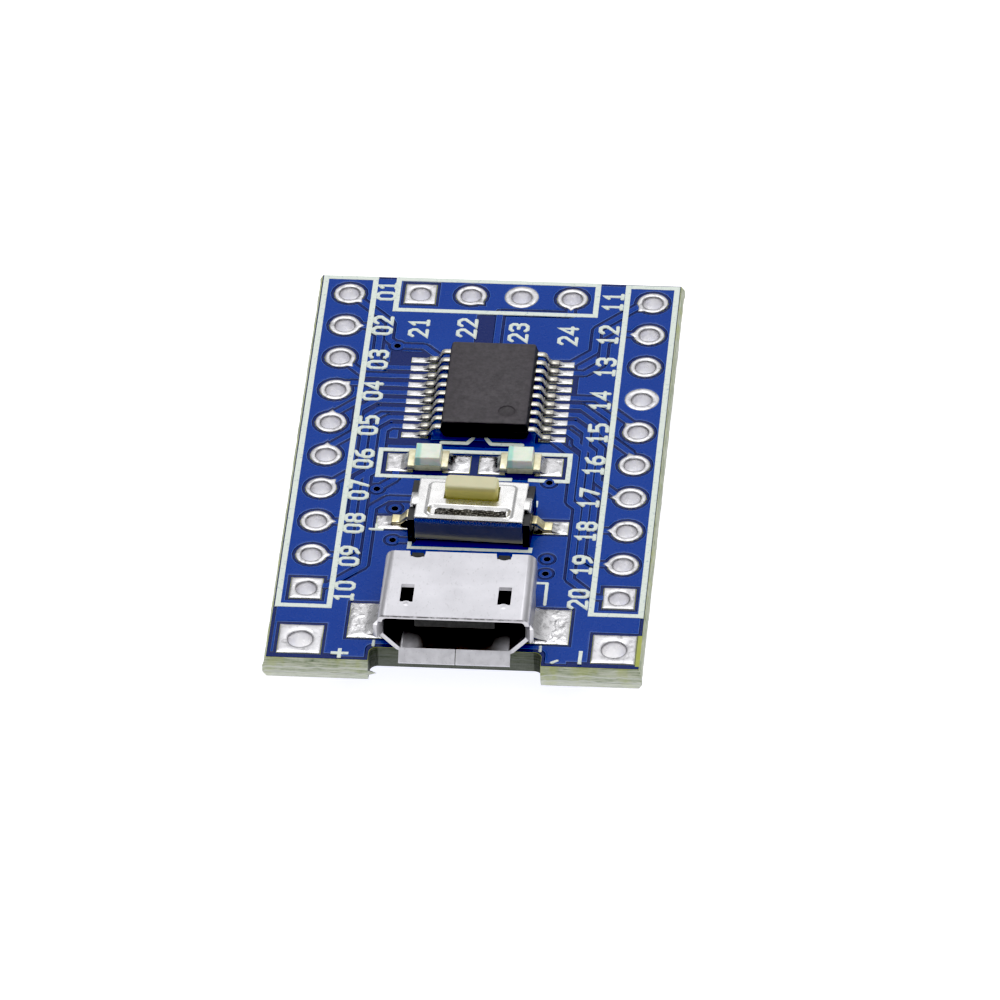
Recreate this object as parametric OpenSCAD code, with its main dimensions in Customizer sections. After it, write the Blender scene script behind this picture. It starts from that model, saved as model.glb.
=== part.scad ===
// Small microcontroller development board: a two-layer circuit board with a 20-lead
// microcontroller, two status LEDs, a tactile reset switch and a micro-USB socket on top,
// and a 3.3 V regulator with its capacitors and resistors underneath.
//
// Frame: +X right, +Y away from the USB socket, +Z up. The origin is the centre of the
// two long header rows, on the underside of the bare laminate.

/* [Board] */
// Thickness of the bare laminate
board_t = 1.2; // [1:0.1:1.6]
// Distance from the grid centre to the left edge of the top face
board_left = 9.1; // [9:0.05:9.5]
// Distance from the grid centre to the right edge of the top face
board_right = 8.95; // [8.9:0.05:9.5]
// Distance from the grid centre to the front edge of the top face
board_front = 16.6; // [16.5:0.05:17]
// Distance from the grid centre to the back edge of the top face
board_back = 12.87; // [12.8:0.05:13.2]
// How far the snapped web stands out past the scored faces
score_run = 0.17; // [0.1:0.01:0.25]
// Depth of each score, top and bottom
score_depth = 0.4; // [0.3:0.05:0.45]
// Width of the front notch under the socket
notch_w = 8.35; // [8:0.05:8.6]
// Depth of the front notch
notch_d = 1; // [0.8:0.05:1.1]
// Radius of the notch's milled inner corners
notch_r = 0.4; // [0.2:0.05:0.5]

/* [Header holes] */
// Pitch of the header holes
pitch = 2.54; // [2.54]
// Holes in each long row
row_count = 10; // [10]
// Distance between the two long rows
row_gap = 15.24; // [15.24]
// Radius of a finished header hole
hole_r = 0.5; // [0.45:0.01:0.52]
// Outer radius of a header pad
pad_r = 0.775; // [0.75:0.005:0.8]
// Outer radius of a ground pad
ground_pad_r = 0.86; // [0.8:0.01:0.9]
// Holes in the short row
short_count = 4; // [4]
// Distance of the short row from the grid centre
short_y = 11.57; // [11.4:0.01:11.7]
// Position of the first hole of the short row
short_x = -4.05; // [-4.2:0.01:-3.9]

/* [Power pads] */
// Radius of a finished power hole
power_r = 0.6; // [0.55:0.01:0.65]
// Distance between the two power holes
power_gap = 15.2; // [15:0.05:15.4]
// Distance of the power holes in front of the grid centre
power_y = 15.22; // [15:0.01:15.3]
// Size of a power pad
power_pad = 2.1; // [2:0.05:2.2]

/* [Microcontroller] */
// Width of the moulded body
mcu_w = 4.4; // [4.3:0.05:4.5]
// Length of the moulded body
mcu_l = 6.5; // [6.4:0.05:6.6]
// Height of the body's top above the solder mask
mcu_h = 1.1; // [1:0.05:1.2]
// Leads on each side
mcu_leads_side = 10; // [10]
// Lead pitch
mcu_pitch = 0.65; // [0.65]
// Span across the feet
mcu_span = 6.5; // [6.4:0.05:6.6]
// Centre of the body from the grid centre
mcu_at = [0.1, 3.42];

/* [LEDs] */
// Length of an LED
led_l = 2; // [1.9:0.05:2.1]
// Width of an LED
led_w = 1.25; // [1.2:0.05:1.3]
// Height of the LED base
led_base_h = 0.32; // [0.25:0.01:0.35]
// Height of an LED's lens above its base
led_lens_h = 0.48; // [0.4:0.01:0.55]
// Centres of the two LEDs along X
led_x = [-2.5, 2.05];
// Centre line of the LEDs
led_y = -1.65; // [-1.8:0.05:-1.5]

/* [Switch] */
// Width of the switch base
switch_w = 6; // [5.9:0.05:6.1]
// Depth of the switch base
switch_d = 3.05; // [3:0.05:3.1]
// Height of the cover above the solder mask
switch_h = 1.6; // [1.55:0.05:1.65]
// Height of the plunger's top above the solder mask
plunger_h = 2.45; // [2.4:0.05:2.55]
// Width of the plunger
plunger_w = 2.6; // [2.5:0.05:2.7]
// Depth of the plunger
plunger_d = 1; // [0.95:0.05:1.05]
// Travel of the plunger
travel = 0.25; // [0.2:0.01:0.3]
// Centre of the switch from the grid centre
switch_at = [0.04, -6.24];
// Turn of the switch on its pads, in degrees
switch_turn = -1.6; // [-2:0.1:2]

/* [USB socket] */
// Width of the shell
usb_w = 7.35; // [7.2:0.05:7.5]
// Height of the shell's top above the solder mask
usb_h = 2.43; // [2.35:0.01:2.5]
// Thickness of the shell's sheet
usb_t = 0.22; // [0.2:0.01:0.25]
// Rear end of the shell
usb_rear = -11.27; // [-11.4:0.01:-11.1]
// Front end of the shell's top
usb_front = -16.1; // [-16.2:0.01:-16]
// Half width of the shell's floor
usb_floor = 2.75; // [2.6:0.05:2.85]
// Height at which the side walls turn in
usb_knee = 1; // [0.9:0.05:1.1]
// Contacts in the socket
usb_pins = 5; // [5]
// Pitch of the contacts
usb_pitch = 0.65; // [0.65]

/* [Underside parts] */
// Body of the regulator
reg_size = [6.5, 3.5, 1.6];
// Centre of the regulator
reg_at = [0, -2.2];
// Pitch of the regulator's leads
reg_pitch = 2.3; // [2.3]

/* [Hidden] */

ROUND = 48;        // segments of a true circle
RING = 16;         // segments of the channel etched round a pad
ARC = 6;           // corners of an etched bend
copper_t = 0.035;  // copper foil
mask_t = 0.055;    // solder mask, from the laminate to its top
pad_t = mask_t;    // foil with its tin, level with the mask
silk_t = 0.02;     // printed legend
plating = 0.03;    // wall of a plated hole
trace_w = 0.28;    // track width
gap_w = 0.2;       // clear channel beside a track
etch = 0.002;      // how far the etched copper stands out past the artwork
clear = 0.03;      // mask and copper pulled back from a pad
notch_x = 0.02;    // centre of the front notch

mask_top = board_t + mask_t;
pad_top = board_t + pad_t;
under_mask = -mask_t;
under_pad = -pad_t;

row_x = row_gap / 2;
first_y = (row_count - 1) / 2 * pitch;
function row_y(i) = first_y - i * pitch;
function short_hole(i) = [short_x + i * pitch, short_y];
power_x = [0.05 - power_gap / 2, 0.05 + power_gap / 2];
via_hole_r = 0.15;
via_pad_r = 0.3;
vias = [
    [-4.85, 7.4], [-4.87, -3.75], [-3.85, -5.2], [-3.75, -7.6],
    [3.55, -2.85], [3.9, -8.65], [3.9, -9.75]
];

// Direction in which a track leaves each pad, in degrees; "none" where no track does,
// and "square" for the square pad that marks the end of a row.
left_exit = [-45, 0, -45, 45, 90, 90, 45, 0, 0, "square"];
right_exit = [-135, 180, "none", "ground", 135, 110, 180, 180, 180, "square"];
short_exit = ["square", -45, "ground", -90];

mcu_row = [for (i = [0 : mcu_leads_side - 1]) (mcu_leads_side - 1) / 2 * mcu_pitch - i * mcu_pitch];
mcu_pad_in = 2.75;
mcu_pad_out = 4.05;
mcu_pad_w = 0.38;

// Tracks on the top layer, as routes of straight runs.
top_tracks = [
    [[-2.8, 6.7], [-3.5, 7.4], [-4.85, 7.4], [-5.35, 7.9], [-5.35, 9.2], [-7.4, 11.3]],
    [[-3.9, 5.7], [-5.2, 5.7], [-5.8, 6.3], [-5.8, 8.2], [-6.5, 8.89], [-7.6, 8.89]],
    [[-3.9, 5.05], [-6.3, 5.05], [-7.5, 6.25]],
    [[-3.9, 4.4], [-7, 4.4], [-7.5, 3.9]],
    [[-3.9, 3.75], [-5.7, 3.75], [-7.6, 1.85], [-7.6, 1.4]],
    [[-3.9, 3.1], [-5.55, 3.1], [-6.3, 2.35], [-6.3, 0.6], [-7.6, -0.7], [-7.6, -1.1]],
    [[-3.9, 2.45], [-5.3, 2.45], [-5.85, 1.9], [-5.85, -2.1], [-7.4, -3.65]],
    [[-3.9, 1.8], [-4.75, 1.8], [-5.4, 1.15], [-5.4, -2.5], [-5.9, -3], [-5.9, -5.9],
        [-6.35, -6.35], [-7.4, -6.35]],
    [[-3.9, 1.15], [-4.6, 1.15], [-4.95, 0.8], [-4.95, -2.2], [-5.45, -2.7],
        [-5.45, -8.3], [-6.05, -8.89], [-7.4, -8.89]],
    [[-2.6, -4.45], [-4.25, -4.45], [-4.98, -5.2], [-4.98, -9.6], [-6.6, -11.2], [-7.4, -11.2]],
    [[-4.87, -3.75], [-4.05, -2.95], [-4.05, -1.8]],
    [[-3.75, -7.6], [-2.9, -7.6]],
    [[3.9, 6.35], [5, 7.45], [5, 9.2], [7.1, 11.3]],
    [[3.9, 5.7], [4.65, 5.7], [5.45, 6.5], [5.45, 8.2], [6.15, 8.89], [7.4, 8.89]],
    [[3.9, 3.75], [5.4, 3.75], [7.5, 1.65]],
    [[3.9, 3.1], [4.7, 3.1], [5.9, 1.9], [5.9, 1.1], [7.4, -0.4], [7.5, -1]],
    [[3.9, 2.45], [4.6, 2.45], [5.55, 1.5], [5.55, 0.3], [5.9, -0.05], [5.9, -2.6],
        [7.1, -3.81], [7.4, -3.81]],
    [[3.9, 1.8], [4.45, 1.8], [5.1, 1.15], [5.1, 0], [5.5, -0.4], [5.5, -3.7],
        [5.9, -4.1], [5.9, -5.9], [6.35, -6.35], [7.4, -6.35]],
    [[3.9, 1.15], [4.1, 1.15], [4.65, 0.6], [4.65, 0.2], [5.08, -0.25], [5.08, -4],
        [5.5, -4.4], [5.5, -8.3], [6.1, -8.89], [7.4, -8.89]],
    [[3.5, 0.4], [4.68, -0.8], [4.68, -4.3], [5.1, -4.72], [5.1, -10.1], [6.4, -11.4],
        [7.4, -11.4]],
    [[3.57, 11.3], [3.57, 10.3], [0.05, 10.3], [0.05, 6.9]]
];

// Windows etched out of the top pour, as [left, front, right, back].
top_windows = [
    [-5.15, 5.95, -2.9, 7], [-5.05, -0.35, 1.9, 0.2], [-4.9, -2.75, 4.4, -0.65],
    [-1.1, 6.9, -0.2, 10.1], [4.15, 3.95, 4.4, 5.5], [-8.9, -16.5, -5.6, -16.2],
    [5.4, -16.5, 8.8, -16.2]
];

// Strip beside the right power pad that the top mask leaves bare.
bare_strip = [8.74, -16.4, 9.2, -14.1];

// Tracks on the bottom layer.
bottom_tracks = [
    [[-7.4, 8.89], [-4.2, 5.7], [-4.2, 1.5]],
    [[7.4, 6.35], [5, 4], [5, -4.6], [2.3, -5.6]],
    [[-7.4, -11.43], [-4.4, -9.5], [-2.4, -9.5]],
    [[7.4, -13], [4.2, -9.6], [2.4, -9.6]]
];

// Chip parts underneath: [x, y, turn].
bulk_caps = [[-5, -6.9, 90], [5, -7.4, 90]];
small_caps = [[-3.2, 4.6, 90], [-0.6, 4.6, 90], [2, 4.6, 90]];
resistors = [[-2.4, -9.5, 90], [0, -9.5, 90], [2.4, -9.5, 90]];
bulk_size = [2, 1.25, 1.25];
small_cap_size = [1.6, 0.8, 0.8];
resistor_size = [1.6, 0.8, 0.45];

// ---------------------------------------------------------------- shared 2D shapes

// A track of the given width along its route, with etched round ends.
module track(route, w) {
    for (i = [0 : len(route) - 2]) {
        run = route[i + 1] - route[i];
        translate(route[i]) rotate(atan2(run.y, run.x))
            translate([0, -w / 2]) square([norm(run), w]);
    }
    for (p = route) translate(p) circle(d = w, $fn = ARC);
}

module window(w) {
    translate([w[0], w[1]]) square([w[2] - w[0], w[3] - w[1]]);
}

// The front notch, with round inner corners.
module notch_shape(grow = 0) {
    half = notch_w / 2 + grow;
    rear = notch_d + grow - board_front;
    translate([notch_x, 0]) {
        translate([-half, -board_front - 1]) square([2 * half, rear - notch_r + board_front + 1]);
        translate([notch_r - half, -board_front]) square([2 * (half - notch_r), rear + board_front]);
        for (side = [-1, 1])
            translate([side * (half - notch_r), rear - notch_r]) circle(notch_r, $fn = ROUND);
    }
}

// Outline of the board's flat faces, less the front notch.
module board_outline(inset = 0) {
    difference() {
        translate([-board_left + inset, -board_front + inset])
            square([board_left + board_right - 2 * inset, board_front + board_back - 2 * inset]);
        notch_shape(inset);
    }
}

// A header pad: round, round and wider for ground, or square, with a spike to its track.
module pad_shape(exit, grow = 0) {
    segments = grow == 0 ? ROUND : RING;
    if (exit == "square") {
        side = 2 * (pad_r + grow);
        translate([-side / 2, -side / 2]) square(side);
    } else if (exit == "ground") {
        circle(ground_pad_r + grow, $fn = segments);
    } else {
        circle(pad_r + grow, $fn = segments);
        if (exit != "none")
            rotate(exit) polygon([[0.4, -0.5 - grow], [0.98 + grow, 0], [0.4, 0.5 + grow]]);
    }
}

// Children are drawn once at each header hole, with $exit naming its pad.
module at_left_row() {
    for (i = [0 : row_count - 1]) let ($exit = left_exit[i]) translate([-row_x, row_y(i)]) children();
}
module at_right_row() {
    for (i = [0 : row_count - 1]) let ($exit = right_exit[i]) translate([row_x, row_y(i)]) children();
}
module at_short_row() {
    for (i = [0 : short_count - 1]) let ($exit = short_exit[i]) translate(short_hole(i)) children();
}
module at_headers() {
    at_left_row() children();
    at_right_row() children();
    at_short_row() children();
}
module at_power() {
    for (x = power_x) translate([x, -power_y]) children();
}
module at_vias() {
    for (v = vias) translate(v) children();
}

module power_pad_shape(grow = 0) {
    side = power_pad + 2 * grow;
    translate([-side / 2, -side / 2]) square(side);
}

// ---------------------------------------------------------------- pads of the top parts

module mcu_pad_shapes(grow = 0) {
    for (y = mcu_row, side = [-1, 1])
        translate([side * (mcu_pad_in + mcu_pad_out) / 2 + 0.02, mcu_at.y + y])
            square([mcu_pad_out - mcu_pad_in + 2 * grow, mcu_pad_w + 2 * grow], center = true);
}
led_pad_l = 1.3;
led_pad_w = 1.35;
module led_pad_shapes(grow = 0) {
    for (x = led_x, side = [-1, 1])
        translate([x + side * (led_l / 2 + led_pad_l / 2 - 0.25), led_y])
            square([led_pad_l + 2 * grow, led_pad_w + 2 * grow], center = true);
}
switch_pad_x = [3.05, 4.7];
module switch_pad_shapes(grow = 0) {
    for (side = [-1, 1])
        translate([side * (switch_pad_x[0] + switch_pad_x[1]) / 2 + 0.04, switch_at.y - 0.03])
            square([switch_pad_x[1] - switch_pad_x[0] + 2 * grow, 0.95 + 2 * grow], center = true);
}
shell_pad_x = [3.15, 5.35];
shell_pad_y = -13.7;
shell_pad_l = 2.55;
tail_pad_y = -10.75;
module usb_pad_shapes(grow = 0) {
    for (side = [-1, 1])
        translate([side * (shell_pad_x[0] + shell_pad_x[1]) / 2 + 0.04, shell_pad_y])
            square([shell_pad_x[1] - shell_pad_x[0] + 2 * grow, shell_pad_l + 2 * grow],
                center = true);
    for (i = [0 : usb_pins - 1])
        translate([(i - (usb_pins - 1) / 2) * usb_pitch, tail_pad_y])
            square([0.4 + 2 * grow, 1.1 + 2 * grow], center = true);
}
module top_pad_shapes(grow) {
    mcu_pad_shapes(grow);
    led_pad_shapes(grow);
    switch_pad_shapes(grow);
    usb_pad_shapes(grow);
    at_power() power_pad_shape(grow);
}

// ---------------------------------------------------------------- pads underneath

reg_lead_y = reg_at.y - 3;
reg_tab_y = reg_at.y + 3;
module chip_pads(size, grow) {
    for (side = [-1, 1])
        translate([side * size.x / 2, 0])
            square([0.9 + 2 * grow, size.y + 0.15 + 2 * grow], center = true);
}
module at_chips(list) {
    for (c = list) translate([c.x, c.y]) rotate(c.z) children();
}
module bottom_pad_shapes(grow = 0) {
    for (i = [-1 : 1])
        translate([reg_at.x + i * reg_pitch, reg_lead_y])
            square([1.1 + 2 * grow, 1.6 + 2 * grow], center = true);
    translate([reg_at.x, reg_tab_y]) square([3.4 + 2 * grow, 1.6 + 2 * grow], center = true);
    at_chips(bulk_caps) chip_pads(bulk_size, grow);
    at_chips(small_caps) chip_pads(small_cap_size, grow);
    at_chips(resistors) chip_pads(resistor_size, grow);
}

// ---------------------------------------------------------------- bare board

// Side profile of a scored and snapped board, from one face's edge to the other.
module scored_profile(low, high) {
    polygon([
        [low, 0], [high, 0], [high + score_run, score_depth],
        [high + score_run, board_t - score_depth], [high, board_t], [low, board_t],
        [low - score_run, board_t - score_depth], [low - score_run, score_depth]
    ]);
}

module laminate() color([0.66, 0.72, 0.52]) difference() {
    intersection() {
        translate([0, board_back + 1, 0]) rotate([90, 0, 0])
            linear_extrude(board_front + board_back + 2) scored_profile(-board_left, board_right);
        translate([-board_left - 1, 0, 0]) rotate([90, 0, 90])
            linear_extrude(board_left + board_right + 2) scored_profile(-board_front, board_back);
    }
    translate([0, 0, -1]) {
        linear_extrude(board_t + 2) notch_shape();
        at_headers() cylinder(board_t + 2, r = hole_r + plating, $fn = ROUND);
        at_power() cylinder(board_t + 2, r = power_r + plating, $fn = ROUND);
        at_vias() cylinder(board_t + 2, r = via_hole_r + plating, $fn = ROUND);
    }
}

// Copper of one layer: a ground pour with a channel round each track and pad, and the tracks.
module etched(tracks) {
    offset(delta = etch) {
        difference() {
            board_outline(0.22);
            for (t = tracks) track(t, trace_w + 2 * gap_w);
            children(0);
        }
        difference() {
            for (t = tracks) track(t, trace_w);
            children(1);
        }
    }
}

// The pour runs right up to a ground pad.
module holes_and_pads(grow) {
    at_headers() pad_shape($exit, $exit == "ground" ? clear : grow);
    at_vias() circle(via_pad_r + grow, $fn = 16);
}

module copper_top_shape() {
    etched(top_tracks) {
        union() {
            holes_and_pads(gap_w);
            top_pad_shapes(gap_w);
            for (w = top_windows) window(w);
        }
        union() {
            holes_and_pads(clear);
            top_pad_shapes(clear);
        }
    }
}

module copper_bottom_shape() {
    etched(bottom_tracks) {
        union() {
            holes_and_pads(gap_w);
            bottom_pad_shapes(gap_w);
            at_power() power_pad_shape(gap_w);
        }
        union() {
            holes_and_pads(clear);
            bottom_pad_shapes(clear);
            at_power() power_pad_shape(clear);
        }
    }
}

module copper_top() color([0.72, 0.45, 0.3])
    translate([0, 0, board_t]) linear_extrude(copper_t) copper_top_shape();

module copper_bottom() color([0.72, 0.45, 0.3])
    translate([0, 0, -copper_t]) linear_extrude(copper_t) copper_bottom_shape();

// Each mask is a level film on its copper's outer face, open over every pad.
module solder_mask_top() color([0.13, 0.27, 0.65])
    translate([0, 0, board_t + copper_t]) linear_extrude(mask_t - copper_t)
        offset(delta = etch) difference() {
            board_outline(0.02);
            at_headers() pad_shape($exit, clear);
            at_vias() circle(via_hole_r + 0.02, $fn = 16);
            top_pad_shapes(clear);
            window(bare_strip);
        }

module solder_mask_bottom() color([0.13, 0.27, 0.65])
    translate([0, 0, under_mask]) linear_extrude(mask_t - copper_t)
        offset(delta = etch) difference() {
            board_outline(0.02);
            at_headers() pad_shape($exit == "square" ? $exit : "none", clear);
            at_power() power_pad_shape(clear);
            at_vias() circle(via_hole_r + 0.02, $fn = 16);
            bottom_pad_shapes(clear);
        }

// ---------------------------------------------------------------- legend

line_w = 0.27;
module frame(x0, y0, x1, y1, w = line_w) {
    difference() {
        window([x0, y0, x1, y1]);
        window([x0 + w, y0 + w, x1 - w, y1 - w]);
    }
}

module plus_sign(s, w) {
    square([s, w], center = true);
    square([w, s * 0.8], center = true);
}

module silkscreen_top() color([0.9, 0.93, 0.9])
    translate([0, 0, mask_top]) linear_extrude(silk_t) difference() {
        union() {
            frame(-9.02, -12.9, -6.25, 12.8);
            frame(6.2, -12.85, 8.9, 12.75);
            frame(-5.35, 10.1, 4.95, 12.82);
            frame(-5.05, -2.87, 4.55, -0.6, 0.24);
            frame(-3, -8.25, 3.12, -4.3, 0.2);
            track([[-2, -0.05], [-0.75, -0.05], [-0.45, 0.4]], 0.2);
            track([[0.15, 0.4], [0.45, -0.05], [2, -0.05]], 0.2);
            track([[3.55, -10.5], [4.05, -10.5], [4.05, -12.1]], 0.16);
            translate([-5.55, -16.2]) plus_sign(0.85, 0.18);
            window([5.98, -16.4, 6.16, -15.45]);
        }
        window([1.7, -3, 2.5, -2.5]);
        at_switch() square([switch_w + 1, switch_d + 0.06], center = true);
        top_pad_shapes(0.06);
        at_vias() circle(0.25, $fn = 16);
    }

module silkscreen_bottom() color([0.9, 0.93, 0.9])
    translate([0, 0, under_mask - silk_t]) linear_extrude(silk_t) difference() {
        union() {
            frame(reg_at.x - 3.6, reg_at.y - 2.1, reg_at.x + 3.6, reg_at.y + 2.1, 0.15);
            for (group = [[bulk_caps, bulk_size], [small_caps, small_cap_size],
                [resistors, resistor_size]])
                at_chips(group[0])
                    frame(-group[1].x / 2 - 0.6, -group[1].y / 2 - 0.3,
                        group[1].x / 2 + 0.6, group[1].y / 2 + 0.3, 0.15);
            frame(-9.02, -12.9, -6.25, 12.8, 0.18);
            frame(6.2, -12.85, 8.9, 12.75, 0.18);
        }
        bottom_pad_shapes(0.06);
    }

// ---------------------------------------------------------------- plated holes and pads

// A pad on each face joined by the plated wall of the hole.
module barrel(exit, r) {
    difference() {
        union() {
            translate([0, 0, board_t]) linear_extrude(pad_t) pad_shape(exit);
            translate([0, 0, -pad_t]) linear_extrude(pad_t)
                pad_shape(exit == "square" ? exit : exit == "ground" ? exit : "none");
            cylinder(board_t, r = r + plating, $fn = ROUND);
        }
        translate([0, 0, -1]) cylinder(board_t + 2, r = r, $fn = ROUND);
    }
}

module header_barrels_left() color("silver") at_left_row() barrel($exit, hole_r);
module header_barrels_right() color("silver") at_right_row() barrel($exit, hole_r);
module header_barrels_top() color("silver") at_short_row() barrel($exit, hole_r);

module power_pads() color("silver") at_power() difference() {
    union() {
        for (z = [-pad_t, board_t])
            translate([0, 0, z]) linear_extrude(pad_t) power_pad_shape();
        cylinder(board_t, r = power_r + plating, $fn = ROUND);
    }
    translate([0, 0, -1]) cylinder(board_t + 2, r = power_r, $fn = ROUND);
}

module via_barrels() color([0.72, 0.45, 0.3]) at_vias() difference() {
    union() {
        for (z = [-copper_t, board_t])
            translate([0, 0, z]) cylinder(copper_t, r = via_pad_r - 0.02, $fn = ROUND);
        cylinder(board_t, r = via_hole_r + plating, $fn = ROUND);
    }
    translate([0, 0, -1]) cylinder(board_t + 2, r = via_hole_r, $fn = ROUND);
}

module mcu_pads() color("silver")
    translate([0, 0, board_t]) linear_extrude(pad_t) mcu_pad_shapes();
module led_pads() color("silver")
    translate([0, 0, board_t]) linear_extrude(pad_t) led_pad_shapes();
module switch_pads() color("silver")
    translate([0, 0, board_t]) linear_extrude(pad_t) switch_pad_shapes();
module usb_pads() color("silver")
    translate([0, 0, board_t]) linear_extrude(pad_t) usb_pad_shapes();
module bottom_pads() color("silver")
    translate([0, 0, -pad_t]) linear_extrude(pad_t) bottom_pad_shapes();

// ---------------------------------------------------------------- solder

// A fillet: a right triangle rising against a face at x = 0, running out along +X.
module fillet(run, rise, width) {
    translate([0, width / 2, 0]) rotate([90, 0, 0]) linear_extrude(width)
        polygon([[0, 0], [run, 0], [run * 0.35, rise * 0.35], [0, rise]]);
}

module solder_joints_top() color("lightgray") translate([0, 0, pad_top]) {
    for (y = mcu_row, side = [0, 1])
        translate([mcu_at.x, mcu_at.y + y, 0]) mirror([side, 0, 0])
            translate([mcu_span / 2, 0, 0]) fillet(0.4, mcu_lead_t, mcu_lead_w);
    for (x = led_x, side = [0, 1])
        translate([x, led_y, 0]) mirror([side, 0, 0])
            translate([led_l / 2, 0, 0]) fillet(0.45, led_base_h, led_w - 0.1);
    for (side = [0, 1])
        at_switch() mirror([side, 0, 0]) translate([switch_foot, 0, 0]) fillet(0.5, term_t, term_w);
    for (side = [0, 1])
        translate([0, shell_pad_y, 0]) mirror([side, 0, 0])
            translate([usb_w / 2, 0, 0]) fillet(1.1, 0.45, 2.2);
}

module chip_solder(size) {
    for (side = [0, 1])
        mirror([side, 0, 0]) translate([size.x / 2, 0, 0])
            fillet(0.35, size.z * 0.6, size.y - 0.06);
}

module solder_joints_bottom() color("lightgray") translate([0, 0, under_pad]) mirror([0, 0, 1]) {
    for (i = [-1 : 1])
        translate([reg_at.x + i * reg_pitch, reg_at.y - reg_reach, 0]) rotate(-90)
            fillet(0.25, reg_lead_t, 0.6);
    translate([reg_at.x, reg_at.y + reg_reach, 0]) rotate(90) fillet(0.25, reg_lead_t, 2.9);
    at_chips(bulk_caps) chip_solder(bulk_size);
    at_chips(small_caps) chip_solder(small_cap_size);
    at_chips(resistors) chip_solder(resistor_size);
}

// ---------------------------------------------------------------- USB socket

usb_corner = 0.45;
usb_side_front = usb_front + 0.22;
usb_z = mask_top + 0.01;

// Section of the shell: wide above, with its lower corners cut across.
module usb_section(inset = 0) {
    offset(delta = -inset, $fn = 32) offset(r = usb_corner, $fn = 32)
        offset(delta = -usb_corner) polygon([
            [-usb_floor, 0], [usb_floor, 0], [usb_w / 2, usb_knee], [usb_w / 2, usb_h - 0.01],
            [-usb_w / 2, usb_h - 0.01], [-usb_w / 2, usb_knee]
        ]);
}

// A solid of the section from one Y to another.
module usb_prism(from_y, to_y, inset = 0) {
    translate([0, to_y, usb_z]) rotate([90, 0, 0]) linear_extrude(to_y - from_y)
        usb_section(inset);
}

window_x = 2.36;
window_w = 0.63;
rear_notch_x = 2.1;
plug_w = 0.58;
plug_l = 0.34;
flap_drop = 0.42;
flap_run = 0.45;
leg_l = 2.2;

module usb_shell() color([0.84, 0.84, 0.86]) union() {
    difference() {
        usb_prism(usb_front, usb_rear);
        usb_prism(usb_front - 1, usb_rear + 1, usb_t);
        // The sides and floor end short of the top's lip.
        translate([-usb_w, usb_front - 1, usb_z - 1])
            cube([2 * usb_w, usb_side_front - usb_front + 1, usb_h - usb_corner + 1]);
        for (side = [-1, 1]) {
            translate([side * window_x - window_w / 2, -15.05, usb_z + usb_h - 1])
                cube([window_w, 1.3, 2]);
            translate([side * rear_notch_x, usb_rear - 0.1, usb_z + usb_h - 1]) {
                cylinder(2, r = 0.38, $fn = ROUND);
                translate([-0.38, 0, 0]) cube([0.76, 1, 2]);
            }
            translate([side * rear_notch_x, usb_rear - 0.4, usb_z + usb_h - 1])
                translate([-0.34, 0, 0]) cube([0.68, 1, 2]);
        }
        // The floor ends short of the contacts' tails.
        translate([-tongue_w / 2, tail_start - 0.2, usb_z - 1])
            cube([tongue_w, usb_rear - tail_start + 0.3, 1 + usb_t + 0.01]);
        // Seam where the rolled sheet meets under the floor.
        translate([0.03, usb_front - 1, usb_z - 1]) cube([0.04, 8, 1 + usb_t + 0.01]);
    }
    // Lower lip, bent down in front of the board on each side of the seam.
    for (x = [[-usb_floor + 0.05, 0.03], [0.07, usb_floor - 0.05]])
        translate([x[0], 0, 0]) rotate([90, 0, 90]) linear_extrude(x[1] - x[0])
            polygon([
                [usb_side_front + 0.3, usb_z], [usb_side_front, usb_z],
                [usb_side_front - flap_run, usb_z - flap_drop],
                [usb_side_front - flap_run - 0.13, usb_z - flap_drop + 0.17],
                [usb_side_front - 0.02, usb_z + usb_t], [usb_side_front + 0.3, usb_z + usb_t]
            ]);
    // Side lips, bent outwards.
    for (side = [0, 1])
        mirror([side, 0, 0]) translate([0, 0, usb_z + usb_knee + 0.08])
            linear_extrude(usb_h - usb_knee - usb_corner - 0.2) polygon([
                [usb_w / 2, usb_side_front + 0.1], [usb_w / 2 + 0.2, usb_front - 0.05],
                [usb_w / 2 + 0.03, usb_front - 0.12], [usb_w / 2 - usb_t, usb_side_front],
                [usb_w / 2 - usb_t, usb_side_front + 0.1]
            ]);
    // A leg from each side wall down to its pad.
    for (side = [0, 1])
        mirror([side, 0, 0]) translate([usb_w / 2 - usb_t, shell_pad_y - leg_l / 2, pad_top])
            cube([usb_t, leg_l, usb_z + usb_knee + 0.15 - pad_top]);
}

block_front = -12.5;
tongue_w = 3.9;
tongue_z = usb_z + 1.28;
tongue_t = 0.6;
tongue_end = -15.55;
contact_t = 0.15;
contact_w = 0.3;
tail_start = -11.9;
tail_end = -10.5;

module usb_contact_shape(grow = 0) {
    for (i = [0 : usb_pins - 1])
        translate([(i - (usb_pins - 1) / 2) * usb_pitch - contact_w / 2 - grow, 0, 0]) {
            w = contact_w + 2 * grow;
            translate([0, tongue_end + 0.35, tongue_z]) cube([w, 3.65, contact_t]);
            translate([0, tail_start, pad_top]) cube([w, contact_t, tongue_z + contact_t - pad_top]);
            translate([0, tail_start, pad_top]) cube([w, tail_end - tail_start, contact_t]);
        }
}

module usb_insulator() color([0.16, 0.16, 0.17]) difference() {
    union() {
        usb_prism(block_front, usb_rear - 0.03, usb_t);
        translate([-tongue_w / 2, tongue_end, tongue_z])
            cube([tongue_w, block_front - tongue_end + 0.1, tongue_t]);
        // A plug stands up in each of the shell's rear notches.
        for (side = [-1, 1])
            translate([side * rear_notch_x - plug_w / 2, usb_rear - 0.03 - plug_l, usb_z + usb_h - 1])
                cube([plug_w, plug_l, 0.93]);
    }
    usb_contact_shape();
    translate([-tongue_w / 2 - 1, usb_rear - 0.65, 0]) cube([tongue_w + 2, 1, usb_z + 0.3]);
}

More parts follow.
